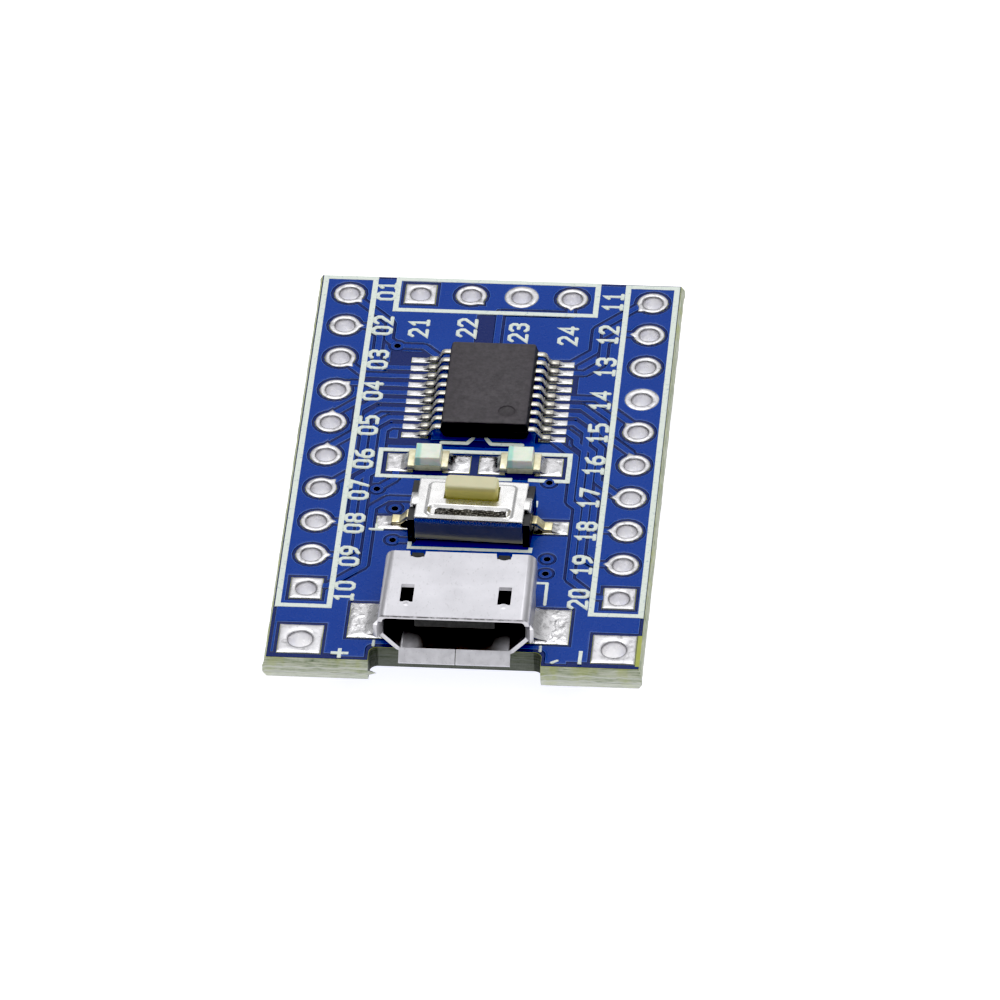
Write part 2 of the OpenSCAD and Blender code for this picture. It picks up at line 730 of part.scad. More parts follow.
module usb_contacts() color([0.85, 0.7, 0.35]) usb_contact_shape();

// ---------------------------------------------------------------- tactile switch

sw_z = mask_top;
cavity_w = 4.5;
cavity_d = 2.35;
cavity_z = sw_z + 0.45;
cover_t = 0.2;
cover_w = 5.33;
plate_z = sw_z + switch_h - cover_t;
base_top = plate_z - 0.03;
skirt_z = sw_z + 0.17;
tab_z = sw_z + 0.75;
tab_w = 0.9;
tab_y = -0.08;
tab_reach = switch_w / 2 - 0.03;
tab_gap = 0.05;
emboss_w = 4.4;
emboss_d = 2.65;
emboss_y = -0.13;
emboss_h = 0.12;
emboss_front = emboss_y - emboss_d / 2;
emboss_rear = emboss_y + emboss_d / 2;
trough_w = 4.1;
trough_d = 0.78;
trough_depth = 0.14;
hollow_front = -0.5;
dome_r = 1.1;
dome_h = 0.36;
dome_t = 0.06;
term_z = sw_z + 0.22;
term_exit = sw_z + 0.38;
term_t = 0.15;
term_w = 0.6;
switch_foot = 3.95;
plunger_y = 0.36;
plunger_gap = 0.05;
flange = 0.3;
flange_h = 0.35;
flange_top = plate_z + emboss_h - 0.02;

module at_switch() translate(switch_at) rotate(switch_turn) children();

// The terminals' metal, from the feet outside to the contacts in the cavity's floor.
module terminal_shape(side) {
    reach = side < 0 ? 0.5 : -0.65;
    mirror([side < 0 ? 1 : 0, 0, 0]) translate([0, term_w / 2, 0]) rotate([90, 0, 0])
        linear_extrude(term_w) polygon([
            [-reach, term_z], [2.5, term_z], [2.65, term_exit], [3.12, term_exit],
            [3.48, pad_top], [switch_foot, pad_top], [switch_foot, pad_top + term_t],
            [3.56, pad_top + term_t], [3.2, term_exit + term_t], [2.58, term_exit + term_t],
            [2.43, term_z + term_t], [-reach, term_z + term_t]
        ]);
}

module contact_rise(side) {
    x = side < 0 ? -0.3 : dome_r - 0.25;
    translate([x, -term_w / 2, term_z + term_t])
        cube([side < 0 ? 0.6 : 0.4, term_w, cavity_z - term_z - term_t]);
}

module terminal(side) {
    terminal_shape(side);
    contact_rise(side);
}

module switch_base() color([0.1, 0.1, 0.11]) at_switch() difference() {
    translate([-switch_w / 2, -switch_d / 2, sw_z]) cube([switch_w, switch_d, base_top - sw_z]);
    translate([-cavity_w / 2, -cavity_d / 2, cavity_z]) cube([cavity_w, cavity_d, 5]);
    // The cover's skirts and tabs sit in these rebates.
    for (side = [0, 1]) {
        mirror([0, side, 0])
            translate([-cover_w / 2, switch_d / 2 - cover_t, sw_z - 1]) cube([cover_w, 1, 5]);
        mirror([side, 0, 0])
            translate([cover_w / 2 + tab_gap, tab_y - tab_w / 2, tab_z]) cube([1, tab_w, 5]);
    }
    for (side = [-1, 1]) terminal(side);
}

module switch_terminals() color([0.9, 0.87, 0.7]) at_switch()
    for (side = [-1, 1]) terminal(side);

module cover_sheet() {
    translate([-cover_w / 2, -switch_d / 2, plate_z]) cube([cover_w, switch_d, cover_t]);
    translate([-emboss_w / 2, emboss_front, plate_z + cover_t])
        cube([emboss_w, emboss_d, emboss_h]);
    for (side = [0, 1]) {
        mirror([0, side, 0]) translate([-cover_w / 2, switch_d / 2 - cover_t, skirt_z])
            cube([cover_w, cover_t, plate_z - skirt_z]);
        mirror([side, 0, 0]) {
            translate([0, tab_y - tab_w / 2, plate_z]) cube([tab_reach, tab_w, cover_t]);
            translate([cover_w / 2 + tab_gap, tab_y - tab_w / 2, tab_z])
                cube([tab_reach - cover_w / 2 - tab_gap, tab_w, plate_z - tab_z]);
        }
    }
}

module switch_cover() color([0.88, 0.88, 0.88]) at_switch() difference() {
    cover_sheet();
    // Hollow under the raised platform, for the plunger's flange.
    translate([-emboss_w / 2 + cover_t, hollow_front, plate_z - 1])
        cube([emboss_w - 2 * cover_t, emboss_rear - cover_t - hollow_front, 1 + emboss_h]);
    translate([-plunger_w / 2 - plunger_gap, plunger_y - plunger_d / 2 - plunger_gap, plate_z - 1])
        cube([plunger_w + 2 * plunger_gap, plunger_d + 2 * plunger_gap, 3]);
    // Trough pressed in front of the plunger.
    translate([-trough_w / 2, emboss_front + 0.06, plate_z + cover_t + emboss_h - trough_depth])
        cube([trough_w, trough_d, 1]);
}

module switch_plunger() color([0.8, 0.76, 0.52]) at_switch() {
    translate([-plunger_w / 2, plunger_y - plunger_d / 2, flange_top])
        cube([plunger_w, plunger_d, sw_z + plunger_h - flange_top]);
    translate([-plunger_w / 2 - flange, plunger_y - plunger_d / 2 - 0.25, flange_top - flange_h])
        cube([plunger_w + 2 * flange, plunger_d + 0.29, flange_h]);
    stem_z = cavity_z + dome_h + dome_t + 0.01;
    translate([0, 0, stem_z]) cylinder(flange_top - flange_h / 2 - stem_z, r = 0.4, $fn = ROUND);
}

// A shallow snap dome: a spherical cap of even thickness, turned about its axis.
module switch_dome() color([0.8, 0.8, 0.82]) at_switch() {
    ball = (dome_r * dome_r + dome_h * dome_h) / (2 * dome_h);
    sweep = asin(dome_r / ball);
    steps = 8;
    translate([0, 0, cavity_z + dome_h - ball]) rotate_extrude($fn = ROUND) polygon(concat(
        [for (i = [0 : steps]) let (a = sweep * i / steps) (ball + dome_t) * [sin(a), cos(a)]],
        [for (i = [steps : -1 : 0]) let (a = sweep * i / steps) ball * [sin(a), cos(a)]]
    ));
}

// ---------------------------------------------------------------- microcontroller

mcu_z = mask_top;
mcu_gap = 0.1;
lead_z = 0.5;
mcu_lead_t = 0.14;
mcu_lead_w = 0.28;
lead_in = 1.5;
parting = 0.54;
draft = 0.12;

// One gull-wing lead on the +X side.
module mcu_lead() {
    foot = pad_top - mcu_z;
    translate([0, mcu_lead_w / 2, mcu_z]) rotate([90, 0, 0]) linear_extrude(mcu_lead_w) polygon([
        [lead_in, lead_z + mcu_lead_t], [2.46, lead_z + mcu_lead_t], [2.62, lead_z + 0.06],
        [2.92, foot + mcu_lead_t + 0.03], [3, foot + mcu_lead_t],
        [mcu_span / 2, foot + mcu_lead_t], [mcu_span / 2, foot], [2.88, foot],
        [2.78, foot + 0.06], [2.5, lead_z - 0.03], [2.4, lead_z], [lead_in, lead_z]
    ]);
}

module mcu_lead_set() {
    for (y = mcu_row, side = [0, 1]) translate([0, y, 0]) mirror([side, 0, 0]) mcu_lead();
}

module paddle_shape() {
    translate([-1.1, -1.5, mcu_z + 0.36]) cube([2.2, 3, 0.14]);
}
module die_shape() {
    translate([-0.85, -0.95, mcu_z + 0.5]) cube([1.7, 1.9, 0.2]);
}

// Bond wires fan from the die's edge to the leads' inner ends.
wire_t = 0.05;
module wire(from, to) {
    run = to - from;
    translate(from) rotate([0, 0, atan2(run.y, run.x)])
        rotate([0, -atan2(run.z, norm([run.x, run.y])), 0])
            translate([0, -wire_t / 2, -wire_t / 2]) cube([norm(run), wire_t, wire_t]);
}
module wire_set() {
    for (y = mcu_row, side = [0, 1]) mirror([side, 0, 0])
        wire([0.7, y * 0.28, mcu_z + 0.79], [1.62, y, mcu_z + lead_z + mcu_lead_t + 0.03]);
}

module mcu_body() color([0.3, 0.28, 0.31]) translate(mcu_at) difference() {
    hull() {
        translate([-mcu_w / 2 + draft, -mcu_l / 2 + draft, mcu_z + mcu_gap])
            cube([mcu_w - 2 * draft, mcu_l - 2 * draft, 0.01]);
        translate([-mcu_w / 2, -mcu_l / 2, mcu_z + parting])
            cube([mcu_w, mcu_l, 0.05]);
        translate([-mcu_w / 2 + draft, -mcu_l / 2 + draft, mcu_z + mcu_h - 0.01])
            cube([mcu_w - 2 * draft, mcu_l - 2 * draft, 0.01]);
    }
    translate([1.05, -2.2, mcu_z + mcu_h - 0.06]) cylinder(1, r = 0.45, $fn = ROUND);
    mcu_lead_set();
    paddle_shape();
    die_shape();
    wire_set();
}

module mcu_leads() color("silver") translate(mcu_at) mcu_lead_set();
module mcu_die_paddle() color([0.75, 0.5, 0.35]) translate(mcu_at) paddle_shape();
module mcu_die() color([0.35, 0.36, 0.42]) translate(mcu_at) die_shape();
module mcu_bond_wires() color("gold") translate(mcu_at) wire_set();

// ---------------------------------------------------------------- LEDs

led_end = 0.36;
led_z = pad_top;
led_notch_r = 0.2;
lens_l = 1.34;

module at_leds() {
    for (x = led_x) translate([x, led_y, led_z]) children();
}

module led_terminal() {
    difference() {
        translate([led_l / 2 - led_end, -led_w / 2, 0]) cube([led_end, led_w, led_base_h]);
        translate([led_l / 2, 0, -1]) cylinder(3, r = led_notch_r, $fn = ROUND);
    }
}

module led_terminals() color([0.88, 0.85, 0.68]) at_leds()
    for (side = [0, 1]) mirror([side, 0, 0]) led_terminal();

module led_substrates() color([0.86, 0.87, 0.74]) at_leds()
    translate([-led_l / 2 + led_end, -led_w / 2, 0])
        cube([led_l - 2 * led_end, led_w, led_base_h]);

led_die = 0.3;
module led_wire() {
    wire([0.12, 0, led_base_h + 0.2], [0.42, 0, led_base_h + 0.05]);
}

module led_lenses() color([0.78, 0.9, 0.82]) at_leds() difference() {
    hull() {
        translate([-lens_l / 2, -led_w / 2, led_base_h]) cube([lens_l, led_w, 0.01]);
        translate([-lens_l / 2 + 0.09, -led_w / 2 + 0.05, led_base_h + led_lens_h - 0.01])
            cube([lens_l - 0.18, led_w - 0.1, 0.01]);
    }
    translate([-led_die / 2 - 0.1, -led_die / 2, led_base_h - 0.1])
        cube([led_die, led_die, 0.25]);
    led_wire();
}

module led_dies() color([0.75, 0.75, 0.5]) at_leds()
    translate([-led_die / 2 - 0.1, -led_die / 2, led_base_h]) cube([led_die, led_die, 0.15]);

module led_bond_wires() color("gold") at_leds() led_wire();

// ---------------------------------------------------------------- regulator

reg_lead_t = 0.28;
reg_lead_w = 0.7;
reg_reach = 3.5;
reg_gap = 0.08;
reg_knee = 0.75;

// Drawn as if on a top face, then turned over onto the underside.
module underside() {
    translate([0, 0, under_pad]) mirror([0, 0, 1]) children();
}

module reg_lead(w) {
    translate([w / 2, 0, 0]) rotate([90, 0, -90]) linear_extrude(w) polygon([
        [1, reg_knee], [1, reg_knee + reg_lead_t], [2.3, reg_knee + reg_lead_t],
        [2.55, reg_knee + reg_lead_t - 0.15], [2.9, reg_lead_t], [reg_reach, reg_lead_t],
        [reg_reach, 0], [2.72, 0], [2.3, reg_knee - 0.04], [2.2, reg_knee]
    ]);
}

module reg_lead_pair() {
    for (i = [-1, 1]) translate([i * reg_pitch, 0, 0]) reg_lead(reg_lead_w);
}

// The tab, the die's pad and the middle lead are one stamping.
module reg_tab_shape() {
    reg_lead(reg_lead_w);
    rotate(180) reg_lead(3);
    translate([-1.5, -1.1, reg_knee]) cube([3, 2.2, reg_lead_t]);
}
module reg_die_shape() {
    translate([-0.9, -0.75, reg_knee + reg_lead_t]) cube([1.8, 1.5, 0.2]);
}

module regulator_body() color([0.16, 0.16, 0.17]) underside() translate(reg_at) difference() {
    hull() {
        translate([-reg_size.x / 2 + 0.12, -reg_size.y / 2 + 0.12, reg_gap])
            cube([reg_size.x - 0.24, reg_size.y - 0.24, 0.01]);
        translate([-reg_size.x / 2, -reg_size.y / 2, 0.85]) cube([reg_size.x, reg_size.y, 0.05]);
        translate([-reg_size.x / 2 + 0.18, -reg_size.y / 2 + 0.18, reg_size.z - 0.01])
            cube([reg_size.x - 0.36, reg_size.y - 0.36, 0.01]);
    }
    reg_lead_pair();
    reg_tab_shape();
    reg_die_shape();
}

module regulator_leads() color("silver") underside() translate(reg_at) reg_lead_pair();
module regulator_tab() color("silver") underside() translate(reg_at) reg_tab_shape();
module regulator_die() color([0.35, 0.36, 0.42]) underside() translate(reg_at) reg_die_shape();

// ---------------------------------------------------------------- chip parts

// The middle of a chip part, between its end caps.
module chip_body(size, end, top = 0) {
    translate([-size.x / 2 + end, -size.y / 2 + 0.03, 0.03])
        cube([size.x - 2 * end, size.y - 0.06, size.z - 0.06 - top]);
}
module chip_ends(size, end) {
    for (side = [0, 1]) mirror([side, 0, 0])
        translate([size.x / 2 - end, -size.y / 2, 0]) cube([end, size.y, size.z]);
}

module bulk_capacitor_bodies() color([0.62, 0.5, 0.36]) underside()
    at_chips(bulk_caps) chip_body(bulk_size, 0.45);
module bulk_capacitor_terminals() color("silver") underside()
    at_chips(bulk_caps) chip_ends(bulk_size, 0.45);
module decoupling_capacitor_bodies() color([0.7, 0.57, 0.42]) underside()
    at_chips(small_caps) chip_body(small_cap_size, 0.32);
module decoupling_capacitor_terminals() color("silver") underside()
    at_chips(small_caps) chip_ends(small_cap_size, 0.32);
module resistor_bodies() color([0.9, 0.9, 0.88]) underside()
    at_chips(resistors) chip_body(resistor_size, 0.3, 0.06);
module resistor_overcoats() color([0.1, 0.1, 0.11]) underside()
    at_chips(resistors)
        translate([-resistor_size.x / 2 + 0.3, -resistor_size.y / 2 + 0.06, resistor_size.z - 0.09])
            cube([resistor_size.x - 0.6, resistor_size.y - 0.12, 0.08]);
module resistor_terminals() color("silver") underside()
    at_chips(resistors) chip_ends(resistor_size, 0.3);

// ---------------------------------------------------------------- nodes

laminate();
copper_top();
copper_bottom();
solder_mask_top();
solder_mask_bottom();
silkscreen_top();
silkscreen_bottom();
header_barrels_left();
header_barrels_right();
header_barrels_top();
power_pads();
via_barrels();
mcu_pads();
led_pads();
switch_pads();
usb_pads();
bottom_pads();
solder_joints_top();
solder_joints_bottom();
usb_shell();
usb_insulator();
usb_contacts();
switch_base();
switch_cover();
switch_plunger();
switch_dome();
switch_terminals();
mcu_body();
mcu_leads();
mcu_die_paddle();
mcu_die();
mcu_bond_wires();
led_substrates();
led_terminals();
led_lenses();
led_dies();
led_bond_wires();
regulator_body();
regulator_leads();
regulator_tab();
regulator_die();
bulk_capacitor_bodies();
bulk_capacitor_terminals();
decoupling_capacitor_bodies();
decoupling_capacitor_terminals();
resistor_bodies();
resistor_overcoats();
resistor_terminals();
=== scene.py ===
"""Looks of the microcontroller development board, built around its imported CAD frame.

Lengths are in millimetres unless a name says otherwise. Meshes are drawn in millimetres and
scaled to metres when they become pieces.
"""
import math

import bmesh
import bpy
from mathutils import Matrix, Vector, noise
from mathutils.geometry import delaunay_2d_cdt


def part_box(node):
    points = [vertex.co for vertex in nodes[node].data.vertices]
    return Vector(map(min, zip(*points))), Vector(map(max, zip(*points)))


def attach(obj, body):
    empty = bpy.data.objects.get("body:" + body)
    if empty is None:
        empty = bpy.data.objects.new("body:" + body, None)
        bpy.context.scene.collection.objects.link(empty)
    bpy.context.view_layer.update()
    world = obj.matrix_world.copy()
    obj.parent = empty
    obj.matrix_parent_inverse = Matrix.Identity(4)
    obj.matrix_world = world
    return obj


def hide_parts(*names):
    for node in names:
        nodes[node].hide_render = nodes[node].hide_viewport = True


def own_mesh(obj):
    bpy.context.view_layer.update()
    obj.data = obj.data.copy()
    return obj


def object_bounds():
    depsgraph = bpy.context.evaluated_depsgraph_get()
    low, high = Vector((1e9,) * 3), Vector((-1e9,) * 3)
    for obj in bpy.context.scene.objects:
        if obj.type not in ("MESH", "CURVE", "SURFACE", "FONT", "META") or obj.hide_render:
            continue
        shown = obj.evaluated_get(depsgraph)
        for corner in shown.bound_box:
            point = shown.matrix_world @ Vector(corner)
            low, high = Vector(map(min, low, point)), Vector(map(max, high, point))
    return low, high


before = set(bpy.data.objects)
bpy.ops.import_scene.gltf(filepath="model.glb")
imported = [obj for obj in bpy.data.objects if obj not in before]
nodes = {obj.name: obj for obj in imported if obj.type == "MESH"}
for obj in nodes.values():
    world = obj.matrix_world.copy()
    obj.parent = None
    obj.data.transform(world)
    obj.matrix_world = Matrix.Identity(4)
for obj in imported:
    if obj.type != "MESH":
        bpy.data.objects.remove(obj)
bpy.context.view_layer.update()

MM = 0.001                 # metres in a millimetre
TINY = 0.0005              # vertices closer than this are one
FLAT = math.radians(0.6)   # faces that bend less than this are one
WEB = 0.4                  # height of each slope of the board's scored edge
FILM = 0.014               # thickness of the mask over bare laminate
NOISE_SPAN = (0.3, 0.7)    # where the values of noise mostly lie
laminate_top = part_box("laminate")[1].z / MM
film_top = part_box("solder_mask_top")[1].z / MM
ink_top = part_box("silkscreen_top")[1].z / MM
pad_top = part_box("mcu_pads")[1].z / MM
floor_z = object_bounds()[0].z / MM


# ---------------------------------------------------------------- mesh helpers

def from_cad(node, whole=True):
    """A CAD node's mesh in millimetres, joined up, and with its flat faces whole if wanted."""
    bm = bmesh.new()
    bm.from_mesh(nodes[node].data)
    bmesh.ops.scale(bm, vec=(1 / MM,) * 3, verts=bm.verts)
    bmesh.ops.remove_doubles(bm, verts=bm.verts, dist=TINY)
    if whole:
        bmesh.ops.dissolve_limit(bm, angle_limit=FLAT, verts=bm.verts, edges=bm.edges)
    for f in bm.faces:
        f.material_index = 0
        f.smooth = True
    return bm


def box_of(points):
    """Lowest and highest corner of some points."""
    lo = Vector([min(p[k] for p in points) for k in range(3)])
    hi = Vector([max(p[k] for p in points) for k in range(3)])
    return lo, hi


def linked_groups(items, neighbours):
    """Parts items into groups, each of which hangs together by way of neighbours."""
    seen, groups = set(), []
    for start in items:
        if start in seen:
            continue
        stack, group = [start], []
        seen.add(start)
        while stack:
            item = stack.pop()
            group.append(item)
            for other in neighbours(item):
                if other not in seen:
                    seen.add(other)
                    stack.append(other)
        groups.append(group)
    return groups


def islands(node):
    """The vertex positions of each separate solid of a CAD node, in a fixed order."""
    bm = from_cad(node)
    groups = linked_groups(bm.verts, lambda v: [e.other_vert(v) for e in v.link_edges])
    found = [[v.co.copy() for v in group] for group in groups]
    bm.free()
    return sorted(found, key=lambda g: (round(box_of(g)[0].y, 3), round(box_of(g)[0].x, 3)))


def island_boxes(node):
    """The box of each separate solid of a CAD node, inner hollows among them."""
    return [box_of(g) for g in islands(node)]


def outer_boxes(node):
    """The boxes of a CAD node's solids, without those of the hollows inside them."""
    boxes = island_boxes(node)

    def holds(big, small):
        return big is not small and all(big[0][k] <= small[0][k] and small[1][k] <= big[1][k]
                                        for k in range(3))

    return [box for box in boxes if not any(holds(other, box) for other in boxes)]


def piece(name, bm, material, body="board", replaces=(), sharp=None):
    """Makes a piece of the object from a mesh drawn in millimetres."""
    bmesh.ops.scale(bm, vec=(MM,) * 3, verts=bm.verts)
    for f in bm.faces:
        f.smooth = True
    mesh = bpy.data.meshes.new(name)
    bm.to_mesh(mesh)
    bm.free()
    if sharp is not None:
        mesh.set_sharp_from_angle(angle=math.radians(sharp))
    mesh.materials.append(material)
    obj = bpy.data.objects.new(name, mesh)
    bpy.context.scene.collection.objects.link(obj)
    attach(obj, body)
    if replaces:
        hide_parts(*replaces)
    return obj


def even_normals(obj):
    """Lets the large faces at each corner decide its normal, so that flat faces look flat."""
    weighing = obj.modifiers.new("weighing", "WEIGHTED_NORMAL")
    weighing.keep_sharp = True
    bpy.context.view_layer.update()
    seen = obj.evaluated_get(bpy.context.evaluated_depsgraph_get())
    mesh = bpy.data.meshes.new_from_object(seen)
    obj.modifiers.remove(weighing)
    old, obj.data = obj.data, mesh
    bpy.data.meshes.remove(old)
    mesh.name = obj.name
    return obj


def softened(name, node, width, material, body="board", steps=2, angle=30):
    """A copy of a CAD node with its edges rounded by width."""
    bm = from_cad(node)
    limit = math.radians(angle)
    edges = [e for e in bm.edges if len(e.link_faces) == 2 and e.calc_face_angle(0) > limit]
    bmesh.ops.bevel(bm, geom=edges, offset=width, offset_type="OFFSET", segments=steps,
                    profile=0.6, affect="EDGES", clamp_overlap=True, loop_slide=True)
    return even_normals(piece(name, bm, material, body, [node], sharp=35))


def bridge(bm, a, b):
    """Joins two rings of vertices with a band of faces."""
    for i in range(len(a)):
        j = (i + 1) % len(a)
        bm.faces.new((a[i], a[j], b[j], b[i]))


def loft(bm, rings, first=True, last=True):
    """Joins rings of points, each counter-clockwise from above and listed from the bottom up."""
    made = [[bm.verts.new(p) for p in ring] for ring in rings]
    for a, b in zip(made, made[1:]):
        bridge(bm, a, b)
    if first:
        bm.faces.new(made[0][::-1])
    if last:
        bm.faces.new(made[-1])
    return made


def rounded_rect(centre, w, d, r, steps=5):
    """Corner arcs of a rectangle, counter-clockwise."""
    r = max(r, 0.002)
    points = []
    for qx, qy, start in ((1, 1, 0), (-1, 1, 90), (-1, -1, 180), (1, -1, 270)):
        for k in range(steps + 1):
            a = math.radians(start + 90 * k / steps)
            points.append((centre[0] + qx * (w / 2 - r) + r * math.cos(a),
                           centre[1] + qy * (d / 2 - r) + r * math.sin(a)))
    return points


def soft_block(bm, lo, hi, corner, edge, taper=0, steps=3):
    """A block with rounded corners and edges; its top is narrower by taper on each side."""
    centre = ((lo.x + hi.x) / 2, (lo.y + hi.y) / 2)
    w, d = hi.x - lo.x, hi.y - lo.y
    rings = []
    for low_half in (True, False):
        for k in range(steps + 1):
            a = math.radians(90 * (k / steps if low_half else 1 - k / steps))
            inset = edge * (1 - math.sin(a))
            z = lo.z + edge * (1 - math.cos(a)) if low_half else hi.z - edge * (1 - math.cos(a))
            inset += taper * (z - lo.z) / (hi.z - lo.z)
            ring = rounded_rect(centre, w - 2 * inset, d - 2 * inset, corner - inset / 2)
            rings.append([(x, y, z) for x, y in ring])
    return loft(bm, rings)


def wobble(x, y, z, scale, seed=0.0):
    """Smooth noise from -1 to 1 at the given number of bumps per millimetre."""
    return noise.noise(Vector((x * scale + seed, y * scale - seed, z * scale + 2.3 * seed)))


def blanket(bm, lo, hi, cells, height, axis=0, base=None):
    """A sheet over a rectangle with walls down to base. height gets u along the axis, v across
    it, and the point, and returns Z."""
    base = lo.z if base is None else base
    long, short = cells
    grid = []
    for i in range(long + 1):
        row = []
        for j in range(short + 1):
            u, v = i / long, j / short
            a, b = (u, v) if axis == 0 else (v, u)
            x, y = lo.x + (hi.x - lo.x) * a, lo.y + (hi.y - lo.y) * b
            row.append(bm.verts.new((x, y, height(u, v, x, y))))
        grid.append(row)
    for i in range(long):
        for j in range(short):
            bm.faces.new((grid[i][j], grid[i + 1][j], grid[i + 1][j + 1], grid[i][j + 1]))
    rim = [grid[i][0] for i in range(long)] + [grid[long][j] for j in range(short)]
    rim += [grid[i][short] for i in range(long, 0, -1)] + [grid[0][j] for j in range(short, 0, -1)]
    foot = [bm.verts.new((v.co.x, v.co.y, base)) for v in rim]
    for i in range(len(rim)):
        j = (i + 1) % len(rim)
        bm.faces.new((rim[i], foot[i], foot[j], rim[j]))
    bm.faces.new(foot)


def ease(t):
    """Goes smoothly from 0 to 1 as t does, and stays there."""
    t = min(1, max(0, t))
    return t * t * (3 - 2 * t)


def inside(x, y, lo, hi, r):
    """How far a point lies inside a level rectangle with round corners."""
    across = abs(x - (lo.x + hi.x) / 2) - (hi.x - lo.x) / 2 + r
    along = abs(y - (lo.y + hi.y) / 2) - (hi.y - lo.y) / 2 + r
    return r - math.hypot(max(across, 0), max(along, 0)) - min(max(across, along), 0)


def spaced(lo, hi, step, *marks):
    """Even places from lo to hi, with the nearest of them moved onto each mark."""
    count = round((hi - lo) / step)
    places = [lo + (hi - lo) * k / count for k in range(count + 1)]
    for mark in marks:
        places[min(range(count + 1), key=lambda k: abs(places[k] - mark))] = mark
    return places


def fix_normals(bm):
    """Turns every face outward."""
    bmesh.ops.recalc_face_normals(bm, faces=bm.faces)


# ---------------------------------------------------------------- materials

def rgb(r, g, b, a=1.0):
    """A colour given as 0 to 255 screen values, made linear."""
    def linear(c):
        c /= 255
        return c / 12.92 if c <= 0.04045 else ((c + 0.055) / 1.055) ** 2.4
    return (linear(r), linear(g), linear(b), a)


def connect(tree, value, socket):
    """Links another node's output to a socket, or sets the socket to a plain value."""
    if isinstance(value, bpy.types.NodeSocket):
        tree.links.new(value, socket)
    else:
        socket.default_value = value


def add_node(tree, kind, inputs, **settings):
    """A new shader node with the given settings, and with its inputs set or linked."""
    n = tree.nodes.new("ShaderNode" + kind)
    for setting, value in settings.items():
        setattr(n, setting, value)
    for socket, value in inputs.items():
        connect(tree, value, n.inputs[socket])
    return n


class Finish:
    """A node material on a Principled shader, with its pattern in object millimetres."""

    def __init__(self, name, **sockets):
        self.material = bpy.data.materials.new(name)
        self.material.use_nodes = True
        self.tree = self.material.node_tree
        self.shader = self.tree.nodes["Principled BSDF"]
        for socket, value in sockets.items():
            self.shader.inputs[socket.replace("_", " ")].default_value = value
        coords = self.add("TexCoord", {}).outputs["Object"]
        self.at = self.add("VectorMath", {0: coords, "Scale": 1 / MM}, operation="SCALE").outputs["Vector"]
        self.normal = None

    def add(self, kind, inputs, **settings):
        return add_node(self.tree, kind, inputs, **settings)

    def give(self, socket, value):
        """Sets or links one of the shader's own inputs."""
        connect(self.tree, value, self.shader.inputs[socket])
        return self

    def math(self, operation, a, b=0.0, clamp=False):
        return self.add("Math", {0: a, 1: b}, operation=operation, use_clamp=clamp).outputs[0]

    def part(self, axis):
        """X, Y or Z in millimetres."""
        return self.add("SeparateXYZ", {0: self.at}).outputs[axis]

    def noise(self, scale, detail=3.0, rough=0.5, stretch=None, warp=0.0):
        at = self.at
        if stretch is not None:
            at = self.add("VectorMath", {0: at, 1: stretch}, operation="MULTIPLY").outputs["Vector"]
        return self.add("TexNoise", {"Vector": at, "Scale": scale, "Detail": detail, "Roughness": rough,
                                     "Distortion": warp}).outputs["Fac"]

    def cells(self, scale):
        return self.add("TexVoronoi", {"Vector": self.at, "Scale": scale}).outputs["Distance"]

    def ramp(self, fac, *stops):
        """Colours at the given places along fac; a plain number stands for a grey."""
        n = self.add("ValToRGB", {"Fac": fac})
        elements = n.color_ramp.elements
        while len(elements) < len(stops):
            elements.new(0.5)
        for e, (place, colour) in zip(elements, stops):
            e.position = place
            e.color = (colour,) * 3 + (1,) if isinstance(colour, (int, float)) else colour
        return n.outputs["Color"]

    def clouded(self, fac, dark, light):
        """One colour to another as fac runs over the span of noise."""
        return self.ramp(fac, (NOISE_SPAN[0], dark), (NOISE_SPAN[1], light))

    def mix(self, fac, a, b, blend="MIX"):
        inputs = {"Factor": fac, "A": a, "B": b}
        return self.add("Mix", inputs, data_type="RGBA", blend_type=blend).outputs["Result"]

    def tinted(self, colour, share, mask, tint):
        """The colour with a share of a tint where the mask is 1."""
        return self.mix(self.math("MULTIPLY", mask, share), colour, tint)

    def colour(self, value):
        return self.give("Base Color", value)

    def rough(self, fac, low, high):
        """Roughness from low to high as fac runs over the span of noise."""
        inputs = {"Value": fac, "From Min": NOISE_SPAN[0], "From Max": NOISE_SPAN[1], "To Min": low,
                  "To Max": high}
        return self.give("Roughness", self.add("MapRange", inputs).outputs["Result"])

    def bump(self, height, depth, strength=1.0):
        """Adds relief of the given depth in millimetres."""
        inputs = {"Height": height, "Distance": depth * MM, "Strength": strength}
        if self.normal is not None:
            inputs["Normal"] = self.normal
        self.normal = self.add("Bump", inputs).outputs["Normal"]
        return self.give("Normal", self.normal)


